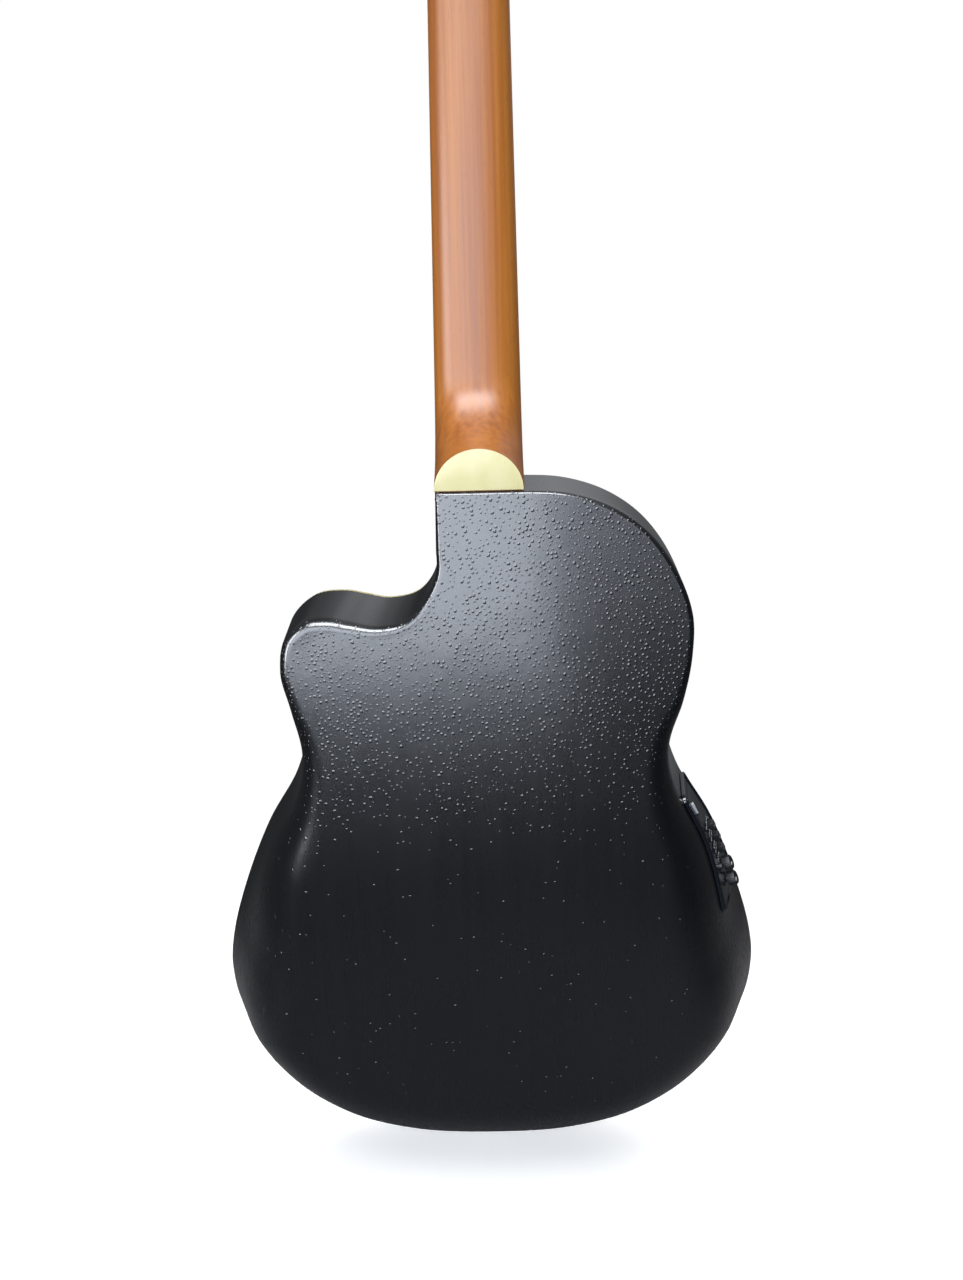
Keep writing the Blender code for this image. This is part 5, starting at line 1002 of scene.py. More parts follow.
# Each fret leaves the string shorter by a twelfth root of two.
index = add(tree, "GeometryNodeInputIndex")
step = add(tree, "ShaderNodeMath", [index, -1.0 / 12.0, -1.0 / 12.0], operation="MULTIPLY_ADD")
left = add(tree, "ShaderNodeMath", [2.0, step], operation="POWER")
share = add(tree, "ShaderNodeMath", [1.0, left], operation="SUBTRACT")
down = add(tree, "ShaderNodeMath", [given["Scale_Length"], share], operation="MULTIPLY")
height = add(tree, "ShaderNodeMath", [given["Nut_Z"], down], operation="SUBTRACT")
spot = add(tree, "ShaderNodeCombineXYZ", {1: given["Board_Y"], 2: height})
set_row = add(tree, "GeometryNodeSetPosition", {0: row, "Position": spot})
above = add(tree, "ShaderNodeMath", [height, JOINT_Z * MM], operation="SUBTRACT")
narrower = -(JOINT_WIDTH - NUT_WIDTH) / SCALE_LENGTH
wide = add(tree, "ShaderNodeMath", [above, narrower, JOINT_WIDTH / 2 * MM], operation="MULTIPLY_ADD")
size = add(tree, "ShaderNodeCombineXYZ", [wide, 1.0, 1.0])
frets = {"Points": set_row, "Instance": given["Geometry"], "Scale": size}
placed = add(tree, "GeometryNodeInstanceOnPoints", frets)
finish_growth(tree, placed, nickel)
board_y = board_front * MM
grow(wire, tree, Frets=float(FRETS), Scale_Length=SCALE_LENGTH * MM, Nut_Z=NUT_Z * MM, Board_Y=board_y)
wire.name = "fret_wires"
tidy_mesh(wire, 45.0)
dress(wire, "nickel_steel")

# Nut, saddle and bridge
#
# Nut and saddle are bone, filed to shape. The bridge is rosewood with a slot for the saddle, six holes for
# the strings, a tie block edged with bone, and low wings. A brass strip under the saddle is the pickup.

STRING_RADII = (0.36, 0.41, 0.51, 0.37, 0.46, 0.54)
STRING_Y_NUT = -7.9
STRING_Y_SADDLE = -12.6
SPREAD = [(2.5 - i) / 5 for i in range(6)]  # from the treble side, as a share
NUT_X = [43.0 * s for s in SPREAD]
SADDLE_X = [58.0 * s for s in SPREAD]
NUT_THICK = -FACE_LIFT - NUT_Z
SADDLE_THICK = 2.8
SADDLE_HALF = 40.0
SLOT_FLOOR_Y = -3.0
PICKUP_THICK = 1.6
BRIDGE_HALF = SADDLE_HALF + 4.0
BRIDGE_WING = 95.0
BRIDGE_AHEAD = 6.5
BRIDGE_BEHIND = 21.5
BRIDGE_TOP_Y = -8.5
WING_THICK = 3.6
TIE_FRONT = 9.0
TIE_TOP_Y = -9.2
STRING_HOLE_Y = -5.2
TIE_BORE = 1.05

bone, tree, shader = new_finish("polished_bone", "EFE6D2", 0.32, Subsurface_Weight=0.06)
shader.inputs["Subsurface Radius"].default_value = (0.002, 0.0012, 0.0008)
# Fine grey pores and soft streaks, about 0.3 mm wide.
streak = mottle(tree, (200.0, 1800.0, 1800.0), 3.0)
textured(tree, shader, streak, ((0.3, "E2D6BA"), (0.55, "F0E8D6"), (0.8, "F4EEE0")), (0.26, 0.40), 0.01)

nut_front = STRING_Y_NUT - 0.6
edge = [(-NUT_WIDTH / 2 + 0.3, -GAP), (-NUT_WIDTH / 2 + 0.3, nut_front)]
for x, radius in zip(reversed(NUT_X), reversed(STRING_RADII)):
    side = radius + 0.25
    edge.append((x - side, nut_front))
    edge += [(x - side * math.cos(t), STRING_Y_NUT + side * math.sin(t)) for t in np.linspace(0, math.pi, 9)]
    edge.append((x + side, nut_front))
edge += [(NUT_WIDTH / 2 - 0.3, nut_front), (NUT_WIDTH / 2 - 0.3, -GAP)]
nut = soften(piece("bone_nut", *prism_mesh([edge], NUT_Z, NUT_Z + NUT_THICK), bone), 0.3, 2, 60.0)
dress(nut, "bone", "nut")

saddle_top = STRING_Y_SADDLE + max(STRING_RADII) + GAP
saddle_foot = SLOT_FLOOR_Y - 2 * GAP - PICKUP_THICK
thick = SADDLE_THICK / 2
crown = [(thick * math.cos(t), 0.9 - 0.9 * math.sin(t)) for t in np.linspace(0, math.pi, 11)]
section = [(SADDLE_Z - thick, saddle_foot), (SADDLE_Z + thick, saddle_foot)]
section += [(SADDLE_Z + z, saddle_top + y) for z, y in crown]
rings = []
ends = ((1.0, 1.6), (0.99, 0.7), (0.965, 0.15), (0.92, 0.0))  # share of the half length, and how much lower
for x, low in [(-x, low) for x, low in ends] + list(reversed(ends)):
    rings.append([(x * SADDLE_HALF, y + low * (y < saddle_top + 1.0), z) for z, y in section])
saddle = piece("bone_saddle", *loft(rings), bone, 50.0)
dress(saddle, "bone", "saddle")


def bridge_z(below):
    """Height of a line across the bridge, this far below the saddle."""
    return SADDLE_Z - below


slot_half = SADDLE_THICK / 2 + GAP
bridge_side = [
    (-BRIDGE_AHEAD, -GAP), (-BRIDGE_AHEAD, BRIDGE_TOP_Y + 2.0), (-BRIDGE_AHEAD + 0.5, BRIDGE_TOP_Y + 0.7),
    (-BRIDGE_AHEAD + 1.5, BRIDGE_TOP_Y), (-slot_half, BRIDGE_TOP_Y), (-slot_half, SLOT_FLOOR_Y),
    (slot_half, SLOT_FLOOR_Y), (slot_half, BRIDGE_TOP_Y), (slot_half + 1.4, BRIDGE_TOP_Y),
    (slot_half + 2.6, BRIDGE_TOP_Y + 1.0), (TIE_FRONT - 3.0, STRING_HOLE_Y + 2.0),
    (TIE_FRONT, STRING_HOLE_Y + 2.0), (TIE_FRONT, TIE_TOP_Y), (BRIDGE_BEHIND, TIE_TOP_Y),
    (BRIDGE_BEHIND, -GAP),
]
bridge_side = [(bridge_z(below), y) for below, y in bridge_side]
block = prism_mesh([bridge_side], -BRIDGE_HALF, BRIDGE_HALF, lambda a, b, c: (c, b, a))
bridge = soften(piece("rosewood_bridge", *block, rosewood), 0.35, 2, 60.0)
for side in (-1, 1):
    near, far = side * (BRIDGE_HALF - 0.5), side * BRIDGE_WING
    front, foot = bridge_z(-BRIDGE_AHEAD), bridge_z(BRIDGE_BEHIND)
    corners = [(near, front)]
    for z, way in ((front, -1), (foot, 1)):
        turns = np.linspace(0, math.pi / 2, 7)
        ends = [(far - side * 5 * (1 - math.sin(t)), z + way * 5 * (1 - math.cos(t))) for t in turns]
        corners += ends if way < 0 else ends[::-1]
    corners.append((near, foot))
    wing = piece("wing", *prism_mesh([corners], -GAP - WING_THICK, -GAP, upright), rosewood)
    cut(bridge, soften(wing, 1.1, 4, 60.0), "UNION", 35.0)
starts = [(x, STRING_HOLE_Y, bridge_z(TIE_FRONT)) for x in SADDLE_X]
bores = joined([bar(start, (0, 0, -1), TIE_BORE, -1.0, BRIDGE_BEHIND, 16) for start in starts])
for bore in (bores, bar((LEAD_HOLE_X, 0.0, SADDLE_Z), (0, 1, 0), 1.8, -4.0, 4.0)):
    cut(bridge, piece("cut_bore", *bore, rosewood), angle=35.0)
dress(bridge, "rosewood", "bridge")

# Two strips of bone edge the tie block, let in nearly flush.
edge, low, high = BRIDGE_HALF - 1.0, TIE_TOP_Y - 0.05, TIE_TOP_Y + 0.6
strip = [(-edge, high), (-edge, low), (edge, low), (edge, high)]
starts = (TIE_FRONT + 0.3, BRIDGE_BEHIND - 2.1)
strips = [prism_mesh([strip], bridge_z(start + 1.8), bridge_z(start)) for start in starts]
dress(piece("tie_block_edging", *joined(strips), bone), "bone")

brass, tree, shader = new_finish("plain_brass", "C9A35A", 0.3, Metallic=1.0)
# Drawn brass, with scuffs along it about 0.7 mm wide.
scuff = mottle(tree, (90.0, 1400.0, 1400.0), 4.0)
textured(tree, shader, scuff, ((0.3, "B8924B"), (0.7, "D4B06A")), (0.22, 0.42), 0.01)
finish(brass, "saddle_pickup")
finish(mahogany, "neck_block", "tail_block")

# Tuning machines
#
# Each side has a nickel-plated steel plate with bearing lugs, screwed to the head's edge. A pearl plastic
# button turns a steel worm, which turns a brass gear on the end of a white nylon roller, 14 turns to one.

PLATE_THICK = 1.2
PLATE_HALF = 7.0
PLATE_PAST = (6.0, 11.0)  # how far it reaches past the lowest worm and the highest roller
PLATE_SCREWS_AT = (32.8, 60.5, 95.5, 123.7)
HUB_RADIUS = 3.0
SHAFT_RADIUS = 1.5
LUG_AWAY = 5.5
LUG_THICK = 2.0
LUG_HALF = 2.8
WORM_TURNS = 2.5
THREAD_STEPS = 24  # points round one turn of the worm's thread
TEETH = 14
WORM_LEAD = 2.6
GEAR_TIP = 6.2
GEAR_ROOT = 5.1
GEAR_WIDE = 3.0
WORM_TIP = 2.6
WORM_ROOT = 1.7
WORM_AWAY = GEAR_TIP + WORM_ROOT + 0.2
BUTTON_LONG = 16.0
BUTTON_START = 24.5
PLATE_FACE = HEAD_HALF + GAP + PLATE_THICK
GEAR_MIDDLE = PLATE_FACE + GAP + WORM_TIP
PLACE = ((1, 0), (1, 1), (1, 2), (-1, 2), (-1, 1), (-1, 0))  # side and row of strings 1 to 6


def turned(profile, count=48):
    """Points and faces of a turned piece about its own Z, from (radius, height) steps."""
    return loft([[(x, y, h) for x, y in circle(r, count)] for r, h in profile])


def placement(origin, x_axis, z_axis):
    """A frame with the given origin, X and Z directions, in millimetres."""
    z = Vector(z_axis).normalized()
    x = Vector(x_axis)
    x = (x - z * x.dot(z)).normalized()
    made = Matrix((x, z.cross(x), z)).transposed().to_4x4()
    made.translation = Vector(origin)
    return made


def placed_piece(name, at, mesh, look, angle=40.0):
    """A piece whose points are given in the frame it is placed by."""
    return piece(name, [tuple(at @ Vector(p)) for p in mesh[0]], mesh[1], look, angle)


def rounded(p0, p1, y0, y1, radius, count=9):
    """A rectangle with round corners."""
    loop = []
    for cp, cy, start in ((p1, y1, 0), (p0, y1, 90), (p0, y0, 180), (p1, y0, 270)):
        sp, sy = (-1 if cp == p1 else 1), (-1 if cy == y1 else 1)
        for t in np.linspace(math.radians(start), math.radians(start + 90), count):
            loop.append((cp + sp * radius + radius * math.cos(t), cy + sy * radius + radius * math.sin(t)))
    return loop


nickel_plate, tree, shader = new_finish("nickel_plated_steel", "C6C6C8", 0.18, Metallic=1.0)
haze = mottle(tree, (300.0, 300.0, 300.0), 4.0)
textured(tree, shader, haze, ((0.3, "BEBEC1"), (0.7, "CDCDCF")), (0.12, 0.28))
textured(tree, shader, mottle(tree, (900.0, 900.0, 900.0)), raised=0.01, strength=0.4)

nylon, tree, shader = new_finish("white_nylon", "ECE8DC", 0.38)
mottling = mottle(tree, (260.0, 260.0, 260.0), 3.0)
textured(tree, shader, mottling, ((0.3, "E4DFCF"), (0.7, "F1EEE4")), (0.32, 0.44), 0.02)

# Pearl plastic: milky swirls, a few millimetres across, under a polished skin.
pearl, tree, shader = new_finish("pearl_plastic", "EDE8DC", 0.16, Coat_Weight=0.5, Coat_Roughness=0.08)
swirl = mottle(tree, (260.0, 260.0, 130.0), 5.0, Distortion=2.4)
milky = ((0.3, "CFC6B4"), (0.45, "E9E3D6"), (0.6, "F6F2EA"), (0.75, "DAD3C4"))
textured(tree, shader, swirl, milky, (0.12, 0.22), 0.01)


def tuner_plate(name, side, node):
    """One side's plate, with the two lugs that bear each worm."""
    low, high = ROLLER_AT[0] - WORM_AWAY - PLATE_PAST[0], ROLLER_AT[-1] + PLATE_PAST[1]
    corners = rounded(low, high, -PLATE_HALF, PLATE_HALF, 2.5, 7)
    holes = [circle(HUB_RADIUS + GAP + 0.1, 32, (up, 0.0)) for up in ROLLER_AT]

    def place(a, b, c):
        """Along the head, across it and out from its side."""
        return tuple(on_head(side * c, a, ROLLER_AXIS + b))

    def place_lug(a, b, c):
        """Out from the head's side, along it and across it."""
        return tuple(on_head(side * a, b, c))

    plate = piece(name, *prism_mesh([corners] + holes, HEAD_HALF + GAP, PLATE_FACE, place), nickel_plate)
    soften(plate, 0.25, 2, 60.0)
    lugs, foot = [], PLATE_FACE - PLATE_THICK / 2
    for at in (up - WORM_AWAY for up in ROLLER_AT):
        turns = np.linspace(math.pi, 0, 13)
        crown = [(GEAR_MIDDLE + LUG_HALF * math.sin(t), at + LUG_HALF * math.cos(t)) for t in turns]
        loops = [[(foot, at - LUG_HALF), *crown, (foot, at + LUG_HALF)]]
        loops.append(circle(SHAFT_RADIUS + 0.3, 20, (GEAR_MIDDLE, at)))
        for middle in (ROLLER_AXIS - LUG_AWAY, ROLLER_AXIS + LUG_AWAY):
            lugs.append(prism_mesh(loops, middle - LUG_THICK / 2, middle + LUG_THICK / 2, place_lug))
    lugs = soften(piece("lugs", *joined(lugs), nickel_plate), 0.2, 2, 60.0)
    cut(plate, lugs, "UNION", 35.0)
    dress(plate, "nickel_steel", node)


tuner_plate("plate_treble", 1, "tuner_plate_treble")
tuner_plate("plate_bass", -1, "tuner_plate_bass")

# Domed screws with crossed slots hold each plate, between the machines and at its ends.
tree, given = new_growth("plate_screw", Head_Radius=0.0016, Head_High=0.0008, Slot_Wide=0.00042, Side=1.0)
ball = add(tree, "GeometryNodeMeshUVSphere", {"Segments": 20, "Rings": 12, "Radius": 1.0})
size = add(tree, "ShaderNodeCombineXYZ", [given["Head_Radius"], given["Head_Radius"], given["Head_High"]])
head = add(tree, "GeometryNodeTransform", {"Geometry": ball, "Scale": size})
long = add(tree, "ShaderNodeMath", [given["Head_Radius"], 1.3], operation="MULTIPLY")
size = add(tree, "ShaderNodeCombineXYZ", [long, given["Slot_Wide"], 0.001])
brick = add(tree, "GeometryNodeMeshCube", {"Size": size})
above = add(tree, "ShaderNodeMath", [given["Head_High"], 0.5, 0.0005], operation="MULTIPLY_ADD")
lift = add(tree, "ShaderNodeCombineXYZ", {2: above})
for turn_by in (0.0, math.pi / 2):
    slot = {"Geometry": brick, "Translation": lift, "Rotation": (0.0, 0.0, turn_by)}
    both = {"Mesh 1": head, "Mesh 2": add(tree, "GeometryNodeTransform", slot)}
    head = add(tree, "GeometryNodeMeshBoolean", both, operation="DIFFERENCE", solver="EXACT")
spin = add(tree, "FunctionNodeRandomValue", {2: 0.0, 3: 1.5, "Seed": 4}).outputs[1]
sideways = add(tree, "ShaderNodeMath", [given["Side"], math.pi / 2], operation="MULTIPLY")
tilt = add(tree, "ShaderNodeCombineXYZ", {1: sideways})
turns = {"Rotation": tilt, "Rotate By": add(tree, "ShaderNodeCombineXYZ", {2: spin})}
turning = add(tree, "FunctionNodeRotateRotation", turns, rotation_space="LOCAL")
screws = {"Points": given["Geometry"], "Instance": head, "Rotation": turning}
placed = add(tree, "GeometryNodeInstanceOnPoints", screws)
finish_growth(tree, placed, nickel_plate)
for word, side in (("treble", 1), ("bass", -1)):
    spots = [on_head(side * PLATE_FACE, up, ROLLER_AXIS) * MM for up in PLATE_SCREWS_AT]
    mesh = bpy.data.meshes.new("spots")
    mesh.from_pydata([tuple(p) for p in spots], [], [])
    screws = bpy.data.objects.new(f"plate_screws_{word}", mesh)
    scene_links(screws)
    grow(screws, tree, Side=float(side))
    tidy_mesh(screws, 30.0)
    dress(screws, "nickel_steel")


def gear_edge():
    """The gear's edge, with one tooth centred on local X, where the worm is."""
    half_step = math.pi * GEAR_ROOT / TEETH
    flank = ((GEAR_ROOT + 0.02, half_step * 0.86), (5.42, 0.86), (5.85, 0.56), (6.08, 0.42), (GEAR_TIP, 0.2))
    edge = []
    for tooth in range(TEETH):
        middle = 2 * math.pi * tooth / TEETH
        steps = [(r, -w) for r, w in flank] + [(r, w) for r, w in reversed(flank)]
        for radius, away in steps:
            turn = middle + away / radius
            edge.append((radius * math.cos(turn), radius * math.sin(turn)))
    return edge


inner_end, neck_end = BORE_END + GAP + 0.2, HEAD_HALF - GAP
gear_low, gear_high = GEAR_MIDDLE - GEAR_WIDE / 2, GEAR_MIDDLE + GEAR_WIDE / 2
screw_foot, hub_end = gear_high + 0.05, gear_high + 0.9
worm_foot = -LUG_AWAY - LUG_THICK / 2 - 0.4
grip_start = BUTTON_START - ROLLER_AXIS
shaft_end = grip_start + 7.0
thread = []
for i in range(int(WORM_TURNS * THREAD_STEPS) + 1):
    angle = 2 * math.pi * i / THREAD_STEPS
    z = WORM_LEAD * (i / THREAD_STEPS - WORM_TURNS / 2)
    taper = min(1.0, i / 8, (WORM_TURNS * THREAD_STEPS - i) / 8)
    top = WORM_ROOT - 0.1 + (WORM_TIP - WORM_ROOT + 0.1) * taper
    root = WORM_ROOT - 0.3
    profile = ((root, -0.52), (top - 0.05, -0.14), (top, 0.0), (top - 0.05, 0.14), (root, 0.52))
    thread.append([(r * math.cos(angle), r * math.sin(angle), z + h) for r, h in profile])
ends = (LUG_AWAY - LUG_THICK / 2 - GAP, shaft_end)
for place_of, (side, row) in enumerate(PLACE, 1):
    up = ROLLER_AT[row]
    at = placement(on_head(0.0, up, ROLLER_AXIS), -UP, (1, 0, 0))
    profile = [
        (ROLLER_RADIUS - 0.5, side * inner_end),
        (ROLLER_RADIUS - 0.15, side * (inner_end + 0.15)),
        (ROLLER_RADIUS, side * (inner_end + 0.5)),
        (ROLLER_RADIUS, side * (SLOT_INNER + 1.0)),
        (ROLLER_RADIUS, side * (SLOT_OUTER + 1.0)),
        (ROLLER_RADIUS, side * neck_end),
        (HUB_RADIUS, side * neck_end),
        (HUB_RADIUS, side * (gear_low - 0.2)),
    ]
    barrel = placed_piece(f"nylon_roller_{place_of}", at, turned(profile, 40), nylon, 35.0)
    dress(barrel, "bone", f"roller_{place_of}", body=f"post_{place_of}")
    wheel = prism_mesh([gear_edge(), circle(1.0, 20)], *sorted((side * gear_low, side * gear_high)))
    gear = placed_piece(f"brass_gear_{place_of}", at, wheel, brass)
    soften(gear, 0.12, 1, 50.0)
    dress(gear, "brass", body=f"post_{place_of}")
    # The screw through the gear's middle, with a straight slot.
    screw_head = [(0.9, gear_low + 0.2), (0.9, screw_foot), (2.5, screw_foot)]
    screw_head += [(2.5, screw_foot + 0.5), (2.2, hub_end)]
    screw_head = turned([(r, side * h) for r, h in screw_head], 32)
    screw = placed_piece(f"gear_screw_{place_of}", at, screw_head, nickel_plate, 35.0)
    along, across = math.cos(0.4 + 0.9 * place_of), math.sin(0.4 + 0.9 * place_of)
    blade = [(-3.0, -0.25), (3.0, -0.25), (3.0, 0.25), (-3.0, 0.25)]
    blade = [(x * along - y * across, x * across + y * along) for x, y in blade]
    slit = prism_mesh([blade], *sorted((side * (hub_end - 0.45), side * (hub_end + 1.0))))
    cut(screw, placed_piece("slit", at, slit, nickel_plate))
    dress(screw, "nickel_steel", body=f"post_{place_of}")

    spot = placement(on_head(side * GEAR_MIDDLE, up - WORM_AWAY, ROLLER_AXIS), (1, 0, 0), BACK)
    shaft = [
        (SHAFT_RADIUS - 0.3, worm_foot),
        (SHAFT_RADIUS, worm_foot + 0.3),
        (SHAFT_RADIUS, -ends[0]),
        (WORM_ROOT, -ends[0]),
        (WORM_ROOT, ends[0]),
        (SHAFT_RADIUS, ends[0]),
        (SHAFT_RADIUS, ends[1]),
    ]
    worm = placed_piece(f"steel_worm_{place_of}", spot, turned(shaft, 32), nickel_plate, 35.0)
    cut(worm, placed_piece("thread", spot, loft(thread), nickel_plate), "UNION", 50.0)
    dress(worm, "nickel_steel", f"worm_shaft_{place_of}", body=f"peg_{place_of}")

    grip = []
    for t in np.linspace(0.0, 1.0, 15):
        swell = math.sin(math.pi * min(1.0, 0.06 + 0.9 * t)) ** 0.5
        collar = max(0.0, 1 - t / 0.1)
        wide = 3.2 + 3.6 * swell * (1 - collar) if t < 0.97 else 3.4
        flat = 3.2 + 1.1 * swell * (1 - collar) if t < 0.97 else 2.3
        grip.append([(x * flat, y * wide, grip_start + t * BUTTON_LONG) for x, y in circle(1.0, 36)])
    button = placed_piece(f"pearl_button_{place_of}", spot, loft(grip), pearl, 60.0)
    bore = bar((0, 0, 0), (0, 0, 1), SHAFT_RADIUS + GAP, grip_start - 3, grip_start + 7.6, 20)
    cut(button, placed_piece("bore", spot, bore, pearl), angle=60.0)
    dress(button, "pearl_plastic", f"tuner_button_{place_of}", body=f"peg_{place_of}")


# Strings
#
# Three plain nylon strings, and three of nylon floss wound with silvered copper wire. Each is tied round the
# tie block, runs over saddle and nut and is wound on its roller, as one unbroken tube along its path.

TIE_LOOP = 2.6
ROLLER_X = (SLOT_OUTER - 4.2, SLOT_INNER + 5.5, SLOT_INNER + 4.5)
WIND_WAY = (-1, 1, 1)
WIND_TURNS = 1.75
STRING_APART = 0.65
BEND = 0.8  # a string bends over an edge within this much

clear_nylon, tree, shader = new_finish("clear_nylon", "E9E4CF", 0.16, Transmission_Weight=0.45, IOR=1.53)
# Faint clouds and scuffs drawn out along the string.
cloud = mottle(tree, (1500.0, 1500.0, 40.0))
textured(tree, shader, cloud, ((0.3, "DDD6BC"), (0.7, "F1EDDD")), (0.12, 0.22))

# The winding's wire is 0.2 mm thick, drawn twice as wide so that it shows.
wound_wire, tree, shader = new_finish("silvered_winding", "CFCDC8", 0.24, Metallic=1.0)
along = add(tree, "ShaderNodeSeparateXYZ", [add(tree, "ShaderNodeUVMap", uv_map="along")]).outputs
turns = add(tree, "ShaderNodeMath", [along["Y"], 1 / 0.4, along["X"]], operation="MULTIPLY_ADD")
hump = add(tree, "ShaderNodeMath", [turns, math.pi], operation="MULTIPLY")
for kind in ("SINE", "ABSOLUTE"):
    hump = add(tree, "ShaderNodeMath", [hump], operation=kind)
# Painted shade: the grooves between the turns are coloured darker, as well as being sunk by the bump.
textured(tree, shader, hump, ((0.0, "6E6B66"), (0.5, "D6D4CF")), raised=0.08, strength=0.7)
textured(tree, shader, mottle(tree, (500.0, 500.0, 60.0), 3.0), gloss=(0.2, 0.34))


def rounded_path(points, reach, steps=5):
    """The path with its corners turned into short curves."""
    spots = [Vector(p) for p in points]
    line = [spots[0]]
    for before, at, after in zip(spots, spots[1:], spots[2:]):
        to_before, to_after = before - at, after - at
        if to_before.angle(to_after) > math.radians(176):
            line.append(at)
            continue
        start = at + to_before.normalized() * min(reach, to_before.length * 0.4)
        end = at + to_after.normalized() * min(reach, to_after.length * 0.4)
        for t in np.linspace(0, 1, steps):
            line.append(start * (1 - t) ** 2 + at * 2 * t * (1 - t) + end * t * t)
    return line + [spots[-1]]


def sweep(name, points, radius, look, count=12):
    """A round cord along the points. Its UVs are the share of a turn and the length in millimetres."""
    steps = [b - a for a, b in zip(points, points[1:])]
    ways = [steps[0]] + [a.normalized() + b.normalized() for a, b in zip(steps, steps[1:])] + [steps[-1]]
    side = ways[0].orthogonal()
    rings = []
    for at, way in zip(points, ways):
        way = way.normalized()
        side = (side - way * side.dot(way)).normalized()
        over = way.cross(side)
        rings.append([tuple(at + side * (radius * c) + over * (radius * s)) for c, s in circle(1.0, count)])
    made = piece(name, *loft(rings), look)
    length = np.concatenate([[0.0], np.cumsum([s.length for s in steps])])
    layer = made.data.uv_layers.new(name="along").data
    for face in made.data.polygons:
        wraps = len(face.vertices) == 4 and {0, count - 1} <= {v % count for v in face.vertices}
        for loop in face.loop_indices:
            ring, spot = divmod(made.data.loops[loop].vertex_index, count)
            layer[loop].uv = ((spot + count * (wraps and spot == 0)) / count, length[ring])
    return made


def string_path(x_saddle, x_nut, side, row, radius):
    """From the free end over the tie block, through its hole, over saddle and nut, and round the roller."""
    back, middle_y = BRIDGE_BEHIND + 0.4, STRING_HOLE_Y - TIE_LOOP
    points = [(x_saddle, middle_y - TIE_LOOP, bridge_z(TIE_FRONT + 2.0))]
    for t in np.linspace(math.pi, 0, 25):
        points.append((x_saddle, middle_y + TIE_LOOP * math.cos(t), bridge_z(back + TIE_LOOP * math.sin(t))))
    points += [
        (x_saddle, STRING_HOLE_Y, bridge_z(TIE_FRONT - 0.4)),
        (x_saddle, STRING_Y_SADDLE, bridge_z(SADDLE_THICK / 2 + 0.5)),
        (x_saddle, STRING_Y_SADDLE, bridge_z(-SADDLE_THICK / 2)),
        (x_nut, STRING_Y_NUT, NUT_Z - 0.5),
        (x_nut, STRING_Y_NUT, NUT_Z + NUT_THICK + 0.4),
    ]
    up, x_end = ROLLER_AT[row], side * ROLLER_X[row]
    loop = ROLLER_RADIUS + GAP + radius + 0.1
    local = Vector(points[-1]) - HEAD_ORIGIN
    turn = 0.2
    for _ in range(8):
        rise = up + loop * math.sin(turn) - local.dot(UP)
        turn = math.atan2(ROLLER_AXIS - loop * math.cos(turn) - local.dot(BACK), rise)
    for share in np.linspace(0.0, WIND_TURNS, 64):
        angle = turn + 2 * math.pi * share
        x = x_end + side * WIND_WAY[row] * (2 * radius + STRING_APART) * max(0.0, share - 0.05)
        points.append(tuple(on_head(x, up + loop * math.sin(angle), ROLLER_AXIS - loop * math.cos(angle))))
    end, before = Vector(points[-1]), Vector(points[-2])
    points.append(tuple(end + (end - before).normalized() * 2.4 * radius))
    return rounded_path(points, BEND)


for place_of, (side, row) in enumerate(PLACE, 1):
    radius = STRING_RADII[place_of - 1]
    path = string_path(SADDLE_X[place_of - 1], NUT_X[place_of - 1], side, row, radius)
    plain = place_of < 4
    string = sweep(f"tuned_string_{place_of}", path, radius, clear_nylon if plain else wound_wire)
    dress(string, "clear_nylon" if plain else "silver_wound", f"string_{place_of}")

# Endpin jack
#
# A nickel-plated brass barrel through the tail, turned with a groove for the strap and bored for a plug. It
# is clamped through the moulded shell.

JACK_Y = 24.0
JACK_HOLE = 5.0

bowl_points = [v.co / MM for v in bowl.data.vertices]
skin = BVHTree.FromPolygons(bowl_points, [tuple(f.vertices) for f in bowl.data.polygons])
jack_out = Vector((0.0, wall_shape()[4][0], -1.0)).normalized()
jack_spot = skin.ray_cast(Vector((0.0, JACK_Y, JOINT_Z - BODY_LENGTH - 60.0)), Vector((0.0, 0.0, 1.0)))[0]
jack_at = placement(jack_spot, (1, 0, 0), jack_out)
jack_profile = [
    (4.6, -22.0), (4.6, 0.5), (7.3, 0.5), (7.6, 0.8), (7.6, 2.0), (7.2, 2.3), (5.3, 2.6), (4.8, 3.2),
    (4.8, 7.0), (5.1, 7.7), (6.7, 8.4), (7.0, 8.9), (7.0, 11.1), (6.8, 11.7), (6.2, 12.2), (3.8, 12.2),
    (3.3, 11.8), (3.3, -14.0),
]
jack = placed_piece("strap_button_jack", jack_at, turned(jack_profile), nickel_plate, 35.0)
dress(jack, "nickel_steel", "endpin_jack")
jack_bore = bar(jack_spot, jack_out, JACK_HOLE, -60.0, 10.0, 40)
bolt_bore = bar((0.0, bolt_middle.y, JOINT_Z), (0, 0, 1), BOLT_RADIUS + GAP, -BOWL_WALL - 3.0, 6.0)
for bore in (jack_bore, bolt_bore):
    cut(bowl, piece("cut_bore", *bore, moulded_abs), angle=50.0)
finish(nickel_plate, "neck_bolt")

# Preamp
#
# A glossy black moulded panel, let into the bass side and curved with it, in a thin raised frame. It holds
# three sliders, a phase button, two ribbed knobs and the battery drawer's door, with a small grey latch.

